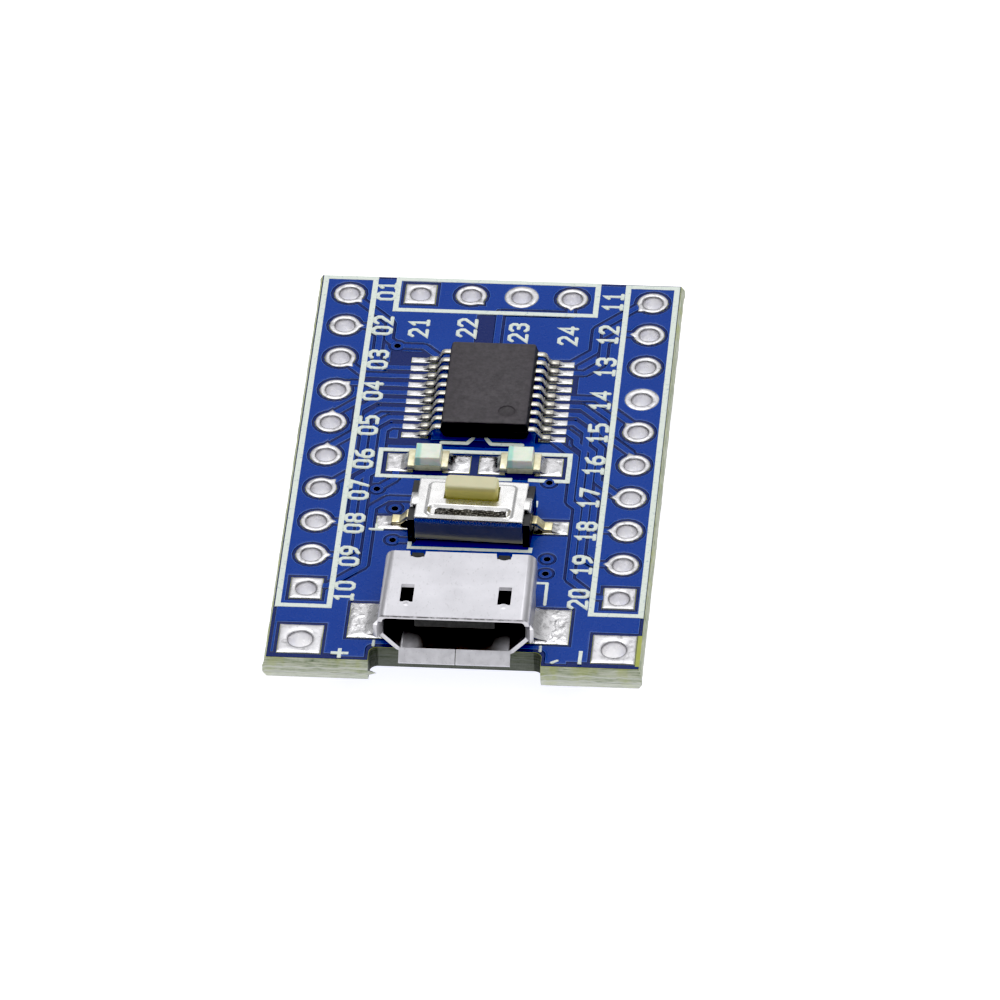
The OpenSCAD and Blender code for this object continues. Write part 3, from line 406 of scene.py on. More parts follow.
def mask_film():
    """Glossy blue film: muted where it lies on bare laminate, with painted shade down the slopes
    beside copper, where it also pools, and a painted highlight over the copper's shoulders."""
    f = Finish("blue_mask", Specular_IOR_Level=0.23)
    middle = laminate_top / 2
    level = f.math("ABSOLUTE", f.math("SUBTRACT", f.part(2), middle))
    low, relief = laminate_top - middle + FILM, 0.032
    share = f.math("DIVIDE", f.math("SUBTRACT", level, low), relief, clamp=True)
    cloud = f.noise(0.35, 2)
    pour = f.mix(cloud, rgb(0, 54, 150), rgb(10, 64, 158))
    bare = f.mix(f.noise(0.5, 3), rgb(6, 36, 108), rgb(26, 44, 112))
    pooled_and_shaded_slope = f.ramp(share, (0.0, 0.25), (0.1, 1.0), (0.6, 1.0), (0.78, 0.0))
    thin_and_lit_shoulder = f.ramp(share, (0.5, 0.0), (0.72, 1.0), (0.86, 1.0), (0.98, 0.0))
    colour = f.mix(f.ramp(share, (0.5, 0.0), (0.9, 1.0)), bare, pour)
    # Painted shade: the slopes beside the copper are tinted deep blue, where the film also pools.
    colour = f.tinted(colour, 0.85, pooled_and_shaded_slope, rgb(0, 10, 62))
    # Painted highlight: the copper's shoulders are tinted pale blue.
    colour = f.tinted(colour, 0.7, thin_and_lit_shoulder, rgb(84, 122, 206))
    specks = f.ramp(f.noise(9, 1, 0.3), (0.72, 0.0), (0.76, 1.0))
    f.colour(f.tinted(colour, 0.15, specks, rgb(80, 104, 190)))
    f.rough(f.noise(2.2, 3), 0.2, 0.34)
    warp, weft = (f.noise(3.4, 1, 0.4, stretch) for stretch in ((1, 0.25, 1), (0.25, 1, 1)))
    f.bump(f.math("MULTIPLY", warp, weft), 0.006, 0.5)
    return f.bump(f.noise(14, 2), 0.0025, 0.5).material


def printed_ink():
    """White ink, thin in places and pitted."""
    f = Finish("legend_ink", Specular_IOR_Level=0.35)
    mottle = f.ramp(f.noise(5.5, 4, 0.6), (0.28, rgb(176, 194, 200)), (0.42, rgb(230, 239, 230)),
                    (0.75, rgb(238, 244, 236)))
    pits = f.ramp(f.cells(7.5), (0.05, 1.0), (0.12, 0.0))
    f.colour(f.tinted(mottle, 0.35, pits, rgb(120, 140, 190)))
    f.rough(f.noise(6, 2), 0.45, 0.65)
    return f.bump(f.noise(16, 3), 0.004, 0.7).material


def hot_tin(name, tone, low, high, ripple, depth):
    """Levelled tin or solder: bright, with dull patches and a rippled skin of the given depth.
    Inside the holes it is painted brighter, as painted light from the pale floor seen down the bores."""
    f = Finish(name, Metallic=1.0)
    patches = f.noise(2.6, 4, 0.55, warp=0.6)
    dull, clean = ([min(1, c * share) for c in tone[:3]] + [1] for share in (0.6, 1.06))
    skin = f.ramp(patches, (0.3, dull), (0.46, tone), (0.8, clean))
    middle = laminate_top / 2
    bore_depth_for_painted_light = f.math("SUBTRACT", middle, f.math("ABSOLUTE", f.math("SUBTRACT", f.part(2), middle)))
    # Painted light: the tin inside the holes is painted near white.
    f.colour(f.mix(f.ramp(bore_depth_for_painted_light, (0.0, 0.0), (0.05, 1.0)), skin, rgb(232, 231, 232)))
    f.rough(f.noise(4.5, 3, 0.6), low, high)
    f.bump(f.noise(ripple, 2, 0.45, warp=0.4), depth, 0.8)
    return f.bump(f.noise(22, 2), 0.0015, 0.5).material


def sheet_steel():
    """Satin plated sheet: fine drawn lines, small pits, a darker broken line along the top of the
    front cut edge, and painted shade inside the socket."""
    f = Finish("plated_sheet", Metallic=1.0, Anisotropic=0.25)
    lo, hi = (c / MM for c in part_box("usb_shell"))
    sheet = f.clouded(f.noise(0.8, 3, 0.5), rgb(192, 191, 196), rgb(202, 201, 206))
    pits = f.ramp(f.noise(11, 2, 0.5, (1.0, 0.5, 1)), (0.62, 0.0), (0.7, 1.0))
    sheet = f.tinted(sheet, 0.3, pits, rgb(150, 150, 152))
    flap = 0.37
    # A darker, broken line along the top of the front cut edge.
    edge = f.ramp(f.math("SUBTRACT", f.part(1), lo.y + flap), (0.0, 1.0), (0.06, 0.0))
    below = f.math("SUBTRACT", hi.z, f.part(2))
    upper = f.ramp(below, (0.02, 0.0), (0.05, 1.0), (0.1, 1.0), (0.16, 0.0))
    dark_line_breaks = f.ramp(f.noise(5, 2, 0.5), (0.36, 0.35), (0.56, 1.0))
    torn = f.math("MULTIPLY", f.math("MULTIPLY", edge, upper), dark_line_breaks)
    sheet = f.tinted(sheet, 0.85, torn, rgb(52, 50, 50))
    # Painted shade inside the socket: the floor and walls behind the mouth are tinted dark.
    depth = f.ramp(f.math("SUBTRACT", f.part(1), lo.y + 0.9), (0.0, 0.0), (0.8, 1.0))
    under = f.ramp(f.math("SUBTRACT", hi.z - 0.2, f.part(2)), (0.0, 0.0), (0.04, 1.0))
    across = f.math("DIVIDE", f.math("ABSOLUTE", f.part(0)), hi.x - 0.2)
    within = f.ramp(across, (0.93, 1.0), (0.945, 0.0))
    painted_inside_shade = f.math("MULTIPLY", f.math("MULTIPLY", depth, under), within)
    f.colour(f.tinted(sheet, 0.8, painted_inside_shade, rgb(66, 62, 58)))
    f.rough(f.noise(3, 3), 0.32, 0.46)
    f.bump(f.noise(9, 3, 0.6, (2.6, 0.18, 1)), 0.0018, 0.5)
    return f.bump(f.noise(26, 2), 0.0016, 0.8).material


def cover_steel():
    """Cover sheet: satin on top, and smoother down its skirts, which mirror what stands before them;
    the skirts are also painted darker and less metallic, as painted shade."""
    f = Finish("cover_sheet", Metallic=1.0)
    sheet = f.clouded(f.noise(1.6, 3, 0.5), rgb(212, 211, 211), rgb(234, 233, 232))
    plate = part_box("switch_cover")[1].z / MM - 0.35
    skirt = f.ramp(f.math("SUBTRACT", plate, f.part(2)), (0.0, 0.0), (0.2, 1.0))
    # Painted shade: the skirts are tinted dark brown-grey and made less metallic, so that they mirror less
    # light.
    f.colour(f.tinted(sheet, 0.85, skirt, rgb(138, 130, 110)))
    f.give("Metallic", f.math("SUBTRACT", 1.0, f.math("MULTIPLY", skirt, 0.35)))
    f.rough(f.mix(skirt, f.clouded(f.noise(5, 3), 0.45, 0.62), (0.46, 0.46, 0.46, 1)), 0.15, 0.36)
    return f.bump(f.noise(18, 3, 0.6), 0.0006, 0.4).material


def stamped_trough():
    """The bottom of the pressed trough, rough and dark between bright grains."""
    f = Finish("trough_grain", Metallic=0.85)
    grain = f.noise(9, 3, 0.7, (1, 1.4, 1))
    f.colour(f.ramp(grain, (0.44, rgb(22, 21, 21)), (0.56, rgb(78, 76, 72)), (0.7, rgb(176, 174, 168))))
    f.rough(grain, 0.3, 0.5)
    return f.bump(grain, 0.015, 0.9).material


def moulded_black(name, dark, light, gloss=0.3):
    """Moulded plastic with a fine matt skin."""
    f = Finish(name, Specular_IOR_Level=0.5)
    f.colour(f.clouded(f.noise(1.5, 3), dark, light))
    f.rough(f.noise(6, 3), gloss, gloss + 0.16)
    return f.bump(f.noise(20, 3, 0.6), 0.0025, 0.6).material


def package_moulding():
    """Filled epoxy: a fine grey-brown skin with pale filler grains."""
    f = Finish("package_moulding", Specular_IOR_Level=0.4)
    body = f.clouded(f.noise(3.2, 5, 0.65), rgb(56, 52, 56), rgb(76, 71, 76))
    grains = f.ramp(f.cells(9), (0.06, 1.0), (0.13, 0.0))
    skin = f.tinted(body, 0.35, grains, rgb(112, 104, 102))
    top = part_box("mcu_body")[1].z / MM
    side = f.ramp(f.math("SUBTRACT", top, f.part(2)), (0.025, 0.0), (0.11, 1.0))
    f.colour(f.mix(side, skin, rgb(26, 24, 24)))
    f.rough(f.noise(7, 3), 0.42, 0.6)
    f.bump(f.noise(13, 4, 0.65), 0.006, 0.8)
    return f.bump(f.cells(26), 0.002, 0.5).material


def metal(name, dark, light, low, high):
    """Plain plated metal, a little uneven, its roughness from low to high."""
    f = Finish(name, Metallic=1.0)
    f.colour(f.clouded(f.noise(3.5, 3), dark, light))
    f.rough(f.noise(6, 3), low, high)
    return f.bump(f.noise(14, 3), 0.002, 0.6).material


def waxy_plastic():
    """The plunger: cream on top, and painted shade down its sides, olive-tan that darkens lower down, with
    faint mould lines.
    """
    f = Finish("waxy_plastic", Subsurface_Weight=0.06, Subsurface_Scale=0.0005, Specular_IOR_Level=0.4)
    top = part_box("switch_plunger")[1].z / MM
    height = f.math("SUBTRACT", f.part(2), top - 1.0)
    # Painted shade: the sides are tinted darker and more olive lower down.
    tone = f.ramp(height, (0.3, rgb(204, 194, 100)), (0.72, rgb(240, 231, 140)), (0.9, rgb(236, 229, 164)),
                  (0.985, rgb(222, 217, 180)))
    f.colour(f.mix(1.0, tone, f.clouded(f.noise(1.4, 3), 0.94, 1.0), "MULTIPLY"))
    f.rough(f.noise(5, 3), 0.4, 0.52)
    f.bump(f.noise(3.5, 2, 0.5, (1.6, 1.6, 0.12)), 0.002, 0.5)
    return f.bump(f.noise(18, 3), 0.0016, 0.5).material


def glass_epoxy():
    """Glass epoxy: pale green resin with white glass layers and loose fibres where it was
    snapped, with painted shade in the milled notch under the socket's flap, and yellow-green on its bare
    faces."""
    f = Finish("glass_epoxy", Specular_IOR_Level=0.3)
    layers = f.noise(4.2, 5, 0.62, (0.22, 0.22, 3.2), warp=0.35)
    body = f.ramp(layers, (0.30, rgb(92, 106, 84)), (0.42, rgb(142, 154, 122)),
                  (0.54, rgb(186, 192, 170)), (0.7, rgb(222, 224, 212)))
    tufts = f.ramp(f.noise(3.1, 4, 0.6, (1, 1, 1.8)), (0.4, 0.0), (0.62, 1.0))
    cloth = f.tinted(body, 0.5, tufts, rgb(198, 202, 186))
    gold = f.ramp(f.noise(1.1, 3, 0.5, (1, 1, 0.4)), (0.56, 0.0), (0.68, 1.0))
    snapped = f.tinted(cloth, 0.45, gold, rgb(176, 184, 96))
    sway = f.math("MULTIPLY", f.math("SUBTRACT", f.noise(1.3, 3), 0.5), 0.34)
    ragged = f.math("DIVIDE", f.math("ADD", f.part(2), sway), laminate_top)
    bands = f.ramp(ragged, (0.0, 0.6), (0.3, 0.45), (0.36, 0.9), (0.42, 0.2), (0.56, 0.15),
                   (0.6, 0.95), (0.66, 0.05), (1.0, 0.0))
    snapped = f.mix(bands, snapped, rgb(210, 213, 208))
    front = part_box("laminate")[0].y / MM
    behind = f.math("DIVIDE", f.math("SUBTRACT", f.part(1), front), 10)
    aside = f.math("DIVIDE", f.math("ABSOLUTE", f.part(0)), 10)
    # Painted shade: the milled notch under the socket's flap is tinted dark.
    milled = f.math("MULTIPLY", f.ramp(behind, (0.02, 0.0), (0.032, 1.0), (0.2, 1.0), (0.21, 0.0)),
                    f.ramp(aside, (0.43, 1.0), (0.434, 0.0)))
    snapped = f.tinted(snapped, 0.8, milled, rgb(44, 52, 44))
    face = f.ramp(f.math("SUBTRACT", laminate_top, f.part(2)), (0.0, 0.85), (0.02, 0.0))
    f.colour(f.mix(face, snapped, rgb(176, 182, 78)))
    f.rough(f.noise(8, 3), 0.6, 0.85)
    return f.bump(f.noise(8, 5, 0.7, (0.35, 0.35, 2.4)), 0.03, 0.8).material


def clear_lens():
    """Milky clear epoxy, with each LED's teal polarity mark showing through its left end."""
    f = Finish("tinted_epoxy", IOR=1.5, Subsurface_Weight=0.5, Subsurface_Scale=0.0004)
    clear = f.clouded(f.noise(1.6, 3), rgb(226, 238, 222), rgb(248, 251, 238))
    mark = 0.0
    for lo, _ in outer_boxes("led_lenses"):
        along = f.math("SUBTRACT", f.part(0), lo.x)
        stripe = f.ramp(along, (0.04, 0.0), (0.08, 1.0), (0.26, 1.0), (0.36, 0.0))
        mark = f.math("MAXIMUM", stripe, mark)
    f.colour(f.tinted(clear, 0.55, mark, rgb(110, 210, 198)))
    f.rough(f.noise(6, 3), 0.14, 0.26)
    return f.bump(f.noise(12, 3), 0.002, 0.4).material


def matt(name, dark, light, low, high):
    """Plain fired or moulded stuff, a little uneven, its roughness from low to high."""
    f = Finish(name, Specular_IOR_Level=0.4)
    f.colour(f.clouded(f.noise(3.0, 4, 0.6), dark, light))
    f.rough(f.noise(6, 3), low, high)
    return f.bump(f.noise(12, 4, 0.6), 0.004, 0.7).material


blue_mask = mask_film()
# Painted shade: the via barrels, seen through the mask's tents, are made near black as the shade in the
# bores.
via_painted_shade = moulded_black("via_painted_shade", rgb(4, 6, 40), rgb(10, 16, 64), 0.25)
legend_ink = printed_ink()
tin = hot_tin("levelled_tin", rgb(204, 203, 206), 0.24, 0.42, ripple=3.2, depth=0.014)
crinkled_tin = hot_tin("crinkled_tin", rgb(200, 199, 201), 0.18, 0.32, ripple=5, depth=0.03)
solder = hot_tin("frozen_solder", rgb(204, 203, 205), 0.14, 0.3, ripple=4.5, depth=0.016)
plated_sheet = sheet_steel()
cover_sheet = cover_steel()
trough_grain = stamped_trough()
black_plastic = moulded_black("moulded_black", rgb(10, 10, 12), rgb(24, 24, 28))
inner_plastic = moulded_black("socket_moulding", rgb(5, 5, 5), rgb(13, 12, 12), 0.5)
moulding = package_moulding()
lead_tin = metal("lead_tin", rgb(190, 187, 178), rgb(216, 213, 204), 0.2, 0.34)
brass = metal("pale_brass", rgb(206, 194, 146), rgb(236, 228, 196), 0.24, 0.38)
gold = metal("thin_gold", rgb(206, 162, 74), rgb(238, 204, 120), 0.2, 0.34)
copper = metal("etched_copper", rgb(164, 98, 62), rgb(206, 138, 96), 0.3, 0.5)
silicon = metal("polished_silicon", rgb(70, 74, 92), rgb(112, 118, 140), 0.12, 0.22)
spring_steel = metal("spring_steel", rgb(176, 176, 182), rgb(208, 208, 214), 0.2, 0.34)
plunger_wax = waxy_plastic()
laminate_glass = glass_epoxy()
lens_epoxy = clear_lens()
led_cream = matt("cream_laminate", rgb(196, 196, 160), rgb(226, 226, 198), 0.4, 0.6)
led_plate = metal("led_plate", rgb(214, 206, 168), rgb(242, 238, 214), 0.3, 0.46)
die_yellow = matt("led_die_face", rgb(168, 158, 84), rgb(204, 196, 128), 0.3, 0.45)
ceramic_tan = matt("fired_ceramic", rgb(132, 100, 66), rgb(166, 132, 92), 0.42, 0.6)
ceramic_pale = matt("pale_ceramic", rgb(164, 132, 96), rgb(192, 164, 128), 0.42, 0.6)
alumina = matt("white_alumina", rgb(206, 206, 200), rgb(234, 234, 230), 0.5, 0.7)
overcoat = matt("glass_overcoat", rgb(14, 14, 16), rgb(32, 32, 36), 0.15, 0.28)


# ---------------------------------------------------------------- solder mask and legend

def level_faces(node, z, up):
    """Only the faces of a CAD node that lie level at z and look up (1) or down (-1)."""
    bm = from_cad(node, whole=False)
    away = [f for f in bm.faces
            if abs(f.calc_center_median().z - z) > TINY or f.normal.z * up < 0.9]
    bmesh.ops.delete(bm, geom=away, context="FACES")
    return bm


def face_way(f):
    """The signed area of a face seen from above, in square millimetres."""
    corners = [v.co for v in f.verts]
    return sum(a.x * b.y - b.x * a.y for a, b in zip(corners, corners[1:] + corners[:1])) / 2


def walled(bm, up, lip, profile):
    """Gives a level sheet rounded walls. Its edge moves in by lip, or by less where a face would
    turn over, and then rings follow the profile's pairs of outward offset and Z."""
    bm.normal_update()
    sheet = list(bm.faces)
    area = {f: abs(face_way(f)) for f in sheet}
    runs, sides = [], {}
    for e in bm.edges:
        if e.is_boundary:
            a, b = e.link_loops[0].vert, e.link_loops[0].link_loop_next.vert
            run = b.co - a.co
            side = Vector((run.y, -run.x, 0)).normalized() * up
            runs.append((a, b))
            e.smooth = False
            for v in (a, b):
                sides.setdefault(v, []).append(side)
    out = {}
    for v, found in sides.items():
        spread = max(0.5, 1 + found[0].dot(found[-1]))
        out[v] = sum(found, Vector()) / (spread * len(found) / 2)
    start = {v: v.co.copy() for v in out}
    share = dict.fromkeys(out, 1.0)
    tries, least_area = 12, 0.2
    for _ in range(tries):
        for v in out:
            v.co = start[v] - lip * share[v] * out[v]
        turned = [f for f in sheet if face_way(f) * up < least_area * area[f]]
        if not turned:
            break
        for v in {v for f in turned for v in f.verts if v in out}:
            share[v] *= 0.5
    before = {v: v for v in out}
    for offset, z in profile:
        ring = {}
        for v in out:
            x, y, _ = start[v] + offset * out[v]
            ring[v] = bm.verts.new((x, y, z))
        for a, b in runs:
            bm.faces.new((before[b], before[a], ring[a], ring[b]))
        before = ring


def add_in(bm, other):
    """Adds another mesh to bm."""
    spare = bpy.data.meshes.new("spare")
    other.to_mesh(spare)
    other.free()
    bm.from_mesh(spare)
    bpy.data.meshes.remove(spare)


def circle(centre, r, z, n, start=0.0):
    """A level ring of n points."""
    turn = 2 * math.pi / n
    return [(centre[0] + r * math.cos(start + k * turn), centre[1] + r * math.sin(start + k * turn), z)
            for k in range(n)]


def mask_side(name, copper_node, film_node, face, up):
    """One side's mask: low over the bare laminate, and raised over each track and pour."""
    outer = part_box(film_node)[1 if up > 0 else 0].z / MM
    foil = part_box(copper_node)[1 if up > 0 else 0].z / MM
    low = face + up * FILM
    bm = level_faces(copper_node, foil, up)
    for v in bm.verts:
        v.co.z = outer
    walled(bm, up, 0.07, [(-0.03, outer - up * 0.006), (0.014, outer - up * 0.02), (0.074, low)])
    film = level_faces(film_node, outer, up)
    for v in film.verts:
        v.co.z = low
    walled(film, up, 0, [(0.004, face + up * 0.004)])
    add_in(bm, film)
    tent = ((0.36, FILM), (0.325, 0.036), (0.29, 0.055), (0.225, 0.055), (0.185, 0.04), (0.17, 0.01))
    for lo, hi in island_boxes("via_barrels"):
        centre = ((lo.x + hi.x) / 2, (lo.y + hi.y) / 2)
        rings = [circle(centre, r, face + up * h, 28) for r, h in tent]
        loft(bm, rings if up > 0 else rings[::-1], False, False)
    return piece(name, bm, blue_mask, replaces=[film_node, copper_node])


mask_side("mask_relief_top", "copper_top", "solder_mask_top", laminate_top, 1)
mask_side("mask_relief_bottom", "copper_bottom", "solder_mask_bottom", 0, -1)

STROKES = {
    "0": [[(0.14, 0), (0.46, 0), (0.6, 0.18), (0.6, 0.82), (0.46, 1), (0.14, 1), (0, 0.82), (0, 0.18),
           (0.14, 0)]],
    "1": [[(0.1, 0.78), (0.3, 1), (0.3, 0)], [(0.08, 0), (0.52, 0)]],
    "2": [[(0, 0.8), (0.14, 1), (0.46, 1), (0.6, 0.82), (0.6, 0.62), (0, 0), (0.6, 0)]],
    "3": [[(0, 0.86), (0.14, 1), (0.46, 1), (0.6, 0.86), (0.6, 0.66), (0.44, 0.53), (0.2, 0.53)],
          [(0.44, 0.53), (0.6, 0.38), (0.6, 0.16), (0.44, 0), (0.14, 0), (0, 0.14)]],
    "4": [[(0.46, 0), (0.46, 1), (0, 0.3), (0.62, 0.3)]],
    "5": [[(0.58, 1), (0.04, 1), (0.04, 0.56), (0.42, 0.6), (0.6, 0.44), (0.6, 0.16), (0.44, 0), (0, 0)]],
    "6": [[(0.5, 1), (0.16, 0.82), (0, 0.46), (0, 0.16), (0.14, 0), (0.46, 0), (0.6, 0.16), (0.6, 0.38),
           (0.46, 0.54), (0.1, 0.54), (0, 0.4)]],
    "7": [[(0, 1), (0.6, 1), (0.22, 0)]],
    "8": [[(0.14, 0.53), (0, 0.38), (0, 0.15), (0.14, 0), (0.46, 0), (0.6, 0.15), (0.6, 0.38),
           (0.46, 0.53), (0.14, 0.53), (0.03, 0.66), (0.03, 0.86), (0.16, 1), (0.44, 1), (0.57, 0.86),
           (0.57, 0.66), (0.46, 0.53)]],
    "9": [[(0.1, 0), (0.44, 0.18), (0.6, 0.54), (0.6, 0.84), (0.46, 1), (0.14, 1), (0, 0.84), (0, 0.62),
           (0.14, 0.46), (0.5, 0.46), (0.6, 0.6)]],
}


def stroke(bm, route, width, low, high):
    """A printed stroke along a route: flat, with rounded shoulders and ends. It rises a trace
    from each corner to the next, so that it can cross itself."""
    half = width / 2
    profile = [(-half, low), (-0.78 * half, high), (0.78 * half, high), (half, low)]
    points = [Vector(p).to_2d() for p in route]
    end = (0.55, 0.6)
    rows = []
    for k, p in enumerate(points):
        before = (p - points[k - 1]).normalized() if k else None
        after = (points[k + 1] - p).normalized() if k < len(points) - 1 else None
        ways = [w for w in (before, after) if w is not None]
        way = sum(ways, Vector((0, 0))).normalized()
        stretch = 1 / max(0.5, way.dot(ways[0]))
        places = [(p, stretch, 1.0)]
        if before is None:
            places.insert(0, (p - way * half * 0.8, *end))
        if after is None:
            places.append((p + way * half * 0.8, *end))
        for at, wide, tall in places:
            side = Vector((-way.y, way.x))
            climb = TINY * k
            rows.append([bm.verts.new((*(at + side * s * wide), low + (z + climb - low) * tall))
                         for s, z in profile])
    for a, b in zip(rows, rows[1:]):
        for i in range(len(profile) - 1):
            bm.faces.new((a[i + 1], a[i], b[i], b[i + 1]))
    bm.faces.new(rows[0][::-1])
    bm.faces.new(rows[-1])


def number(bm, text, centre, size, width, low, high):
    """A number printed along +Y, its top towards -X, centred on a point."""
    advance = 0.95 * size
    start = centre[1] - (len(text) * advance - 0.35 * size) / 2
    for k, digit in enumerate(text):
        for layer, route in enumerate(STROKES[digit]):
            placed = [(centre[0] - (v - 0.5) * size, start + k * advance + u * size) for u, v in route]
            stroke(bm, placed, width, low, high + 0.003 + 0.002 * layer)


def jitter_rim(bm, reach, scale):
    """Moves a sheet's corners about a little, as ink spreads."""
    for v in bm.verts:
        v.co.x += reach * wobble(v.co.x, v.co.y, 0, scale, 3.1)
        v.co.y += reach * wobble(v.co.x, v.co.y, 0, scale, 8.7)


def legend():
    """Printed frames and signs from the CAD, with a number beside each hole."""
    bm = level_faces("silkscreen_top", ink_top, 1)
    long = [e for e in bm.edges if e.calc_length() > 0.6]
    bmesh.ops.subdivide_edges(bm, edges=long, cuts=9)
    jitter_rim(bm, 0.012, 1.7)
    size, width, foot = 0.86, 0.21, film_top - 0.02
    walled(bm, 1, 0.012, [(0.0, ink_top - 0.005), (0.008, foot)])
    numbers = [(-5.75, 11.7), (-5.72, 8.95), (-5.72, 6.25), (-5.75, 3.8), (-5.75, 1.1), (-5.75, -1.5),
               (-5.75, -3.9), (-5.75, -6.45), (-5.75, -8.95), (-5.75, -11.6),
               (5.65, 11.4), (5.6, 8.75), (5.65, 6.2), (5.6, 3.6), (5.65, 1.05), (5.65, -1.45),
               (5.6, -3.95), (5.65, -6.5), (5.65, -9.05), (5.65, -11.6),
               (-3.9, 8.85), (-1.5, 8.95), (1.1, 8.7), (3.6, 8.6)]
    for k, place in enumerate(numbers):
        number(bm, f"{k + 1:02d}", place, size, width, foot, ink_top)
    ticks = [[(-4.95, -6.85), (-4.3, -6.85)], [(-4.62, -6.85), (-4.62, -6.45)],
             [(-3.98, -15.55), (-3.98, -15.2)], [(4.1, -15.55), (4.1, -15.2)],
             [(4.7, -16.38), (5.0, -16.2)]]
    for route in ticks:
        stroke(bm, route, 0.16, foot, ink_top)
    return piece("legend_top", bm, legend_ink, replaces=["silkscreen_top"])


legend()
softened("legend_bottom", "silkscreen_bottom", 0.006, legend_ink, steps=1)


# ---------------------------------------------------------------- bare board

def outer_corners():
    """The corners of the board's top face, counter-clockwise."""
    bm = level_faces("laminate", laminate_top, 1)
    step = {}
    for e in bm.edges:
        if e.is_boundary:
            loop = e.link_loops[0]
            step[loop.vert] = loop.link_loop_next.vert
    start = min(step, key=lambda v: v.co.x + v.co.y)
    walk, v = [start.co.xy.copy()], step[start]
    while v is not start:
        walk.append(v.co.xy.copy())
        v = step[v]
    bm.free()
    corners = []
    for k, p in enumerate(walk):
        a, b = p - walk[k - 1], walk[(k + 1) % len(walk)] - p
        if abs(a.cross(b)) > 1e-4:
            corners.append(p)
    return corners


def snapped_wall(bm):
    """The board's edge: scored from both faces and snapped, with torn fibres along the web, and
    a milled notch in front."""
    corners = outer_corners()
    lo, hi = box_of([(p.x, p.y, 0) for p in corners])
    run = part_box("laminate")[1].x / MM - hi.x

    def outermost(c, axis):
        """Whether a corner lies on one of the board's outermost edges along an axis."""
        return min(abs(c[axis] - lo[axis]), abs(c[axis] - hi[axis])) < TINY

    levels = [0, 0.02, 0.1, 0.2, 0.3, 0.38, 0.41, 0.47, 0.53, 0.6, 0.67, 0.73, 0.79, 0.82, 0.9, 1.0, 1.1,
              1.18, laminate_top]
    spacing = 0.16
    rings = []
    for z in levels:
        slope = min(z, laminate_top - z, WEB) / WEB
        ring = []
        for k, p in enumerate(corners):
            q = corners[(k + 1) % len(corners)]
            n = Vector((q.y - p.y, p.x - q.x)).normalized()
            scored = any(outermost(p, axis) and abs(p[axis] - q[axis]) < TINY for axis in (0, 1))
            ends = []
            for c in (p, q):
                grown = c.copy()
                for axis in (0, 1):
                    if outermost(c, axis):
                        grown[axis] += math.copysign(run * slope, c[axis])
                ends.append(grown)
            count = max(1, round((q - p).length / spacing))
            for i in range(count):
                at = ends[0].lerp(ends[1], i / count)
                torn = 0.0
                if TINY < z < laminate_top - TINY and i:
                    if scored:
                        ragged = 0.5 + 0.5 * wobble(at.x, at.y, z * 5, 1.3, 4)
                        fibre = 0.5 + 0.5 * wobble(at.x, at.y, z * 9, 3.2, 9)
                        torn = (0.02 + 0.07 * slope ** 6) * (0.6 * ragged + 0.4 * fibre)
                    else:
                        torn = 0.012 * (0.5 + 0.5 * wobble(at.x * 6, at.y * 6, z, 1, 2))
                at -= n * torn
                ring.append((at.x, at.y, z))
        rings.append(ring)
    loft(bm, rings, False, False)


def bare_board():
    """The laminate: the CAD faces and hole walls, with a snapped edge in place of the plain one."""
    bm = from_cad("laminate")
    facet = 0.3    # the holes' walls are of four-sided facets smaller than this
    side = [f for f in bm.faces if abs(f.normal.z) < 0.95 and
            not (f.calc_area() < facet and len(f.verts) == 4)]
    bmesh.ops.delete(bm, geom=side, context="FACES")
    snapped_wall(bm)
    # A loose flake of laminate hangs at the notch's left corner.
    corner = Vector((-4.16, -16.62, 0.42))
    ways = ((0.42, 0.06, -0.05), (-0.1, 0.0, 0.14), (-0.12, -0.04, -0.16), (-0.1, 0.28, 0))
    made = [bm.verts.new(corner + Vector(way)) for way in ways]
    for a, b, c in ((0, 1, 2), (0, 3, 1), (0, 2, 3), (1, 3, 2)):
        bm.faces.new((made[a], made[b], made[c]))
    return piece("bare_board", bm, laminate_glass, replaces=["laminate"], sharp=40)


bare_board()


# ---------------------------------------------------------------- plated holes and pads

def rims(node, z, up):
    """The boundary edges of each separate level face at z."""
    bm = level_faces(node, z, up)
    groups = linked_groups(bm.faces, lambda f: [g for e in f.edges for g in e.link_faces])
    found = [[[v.co.xy.copy() for v in e.verts] for f in group for e in f.edges if e.is_boundary]
             for group in groups]
    bm.free()
    return found


def reach(edges, centre, angle):
    """How far the outline lies from its centre in one direction."""
    d = Vector((math.cos(angle), math.sin(angle)))
    best = 0.0
    for a, b in edges:
        a, b = a - centre, b - centre
        den = d.x * (b.y - a.y) - d.y * (b.x - a.x)
        if abs(den) > 1e-9:
            t = (a.x * (b.y - a.y) - a.y * (b.x - a.x)) / den
            s = (a.x * d.y - a.y * d.x) / den
            if -1e-5 <= s <= 1 + 1e-5:
                best = max(best, t)
    return best


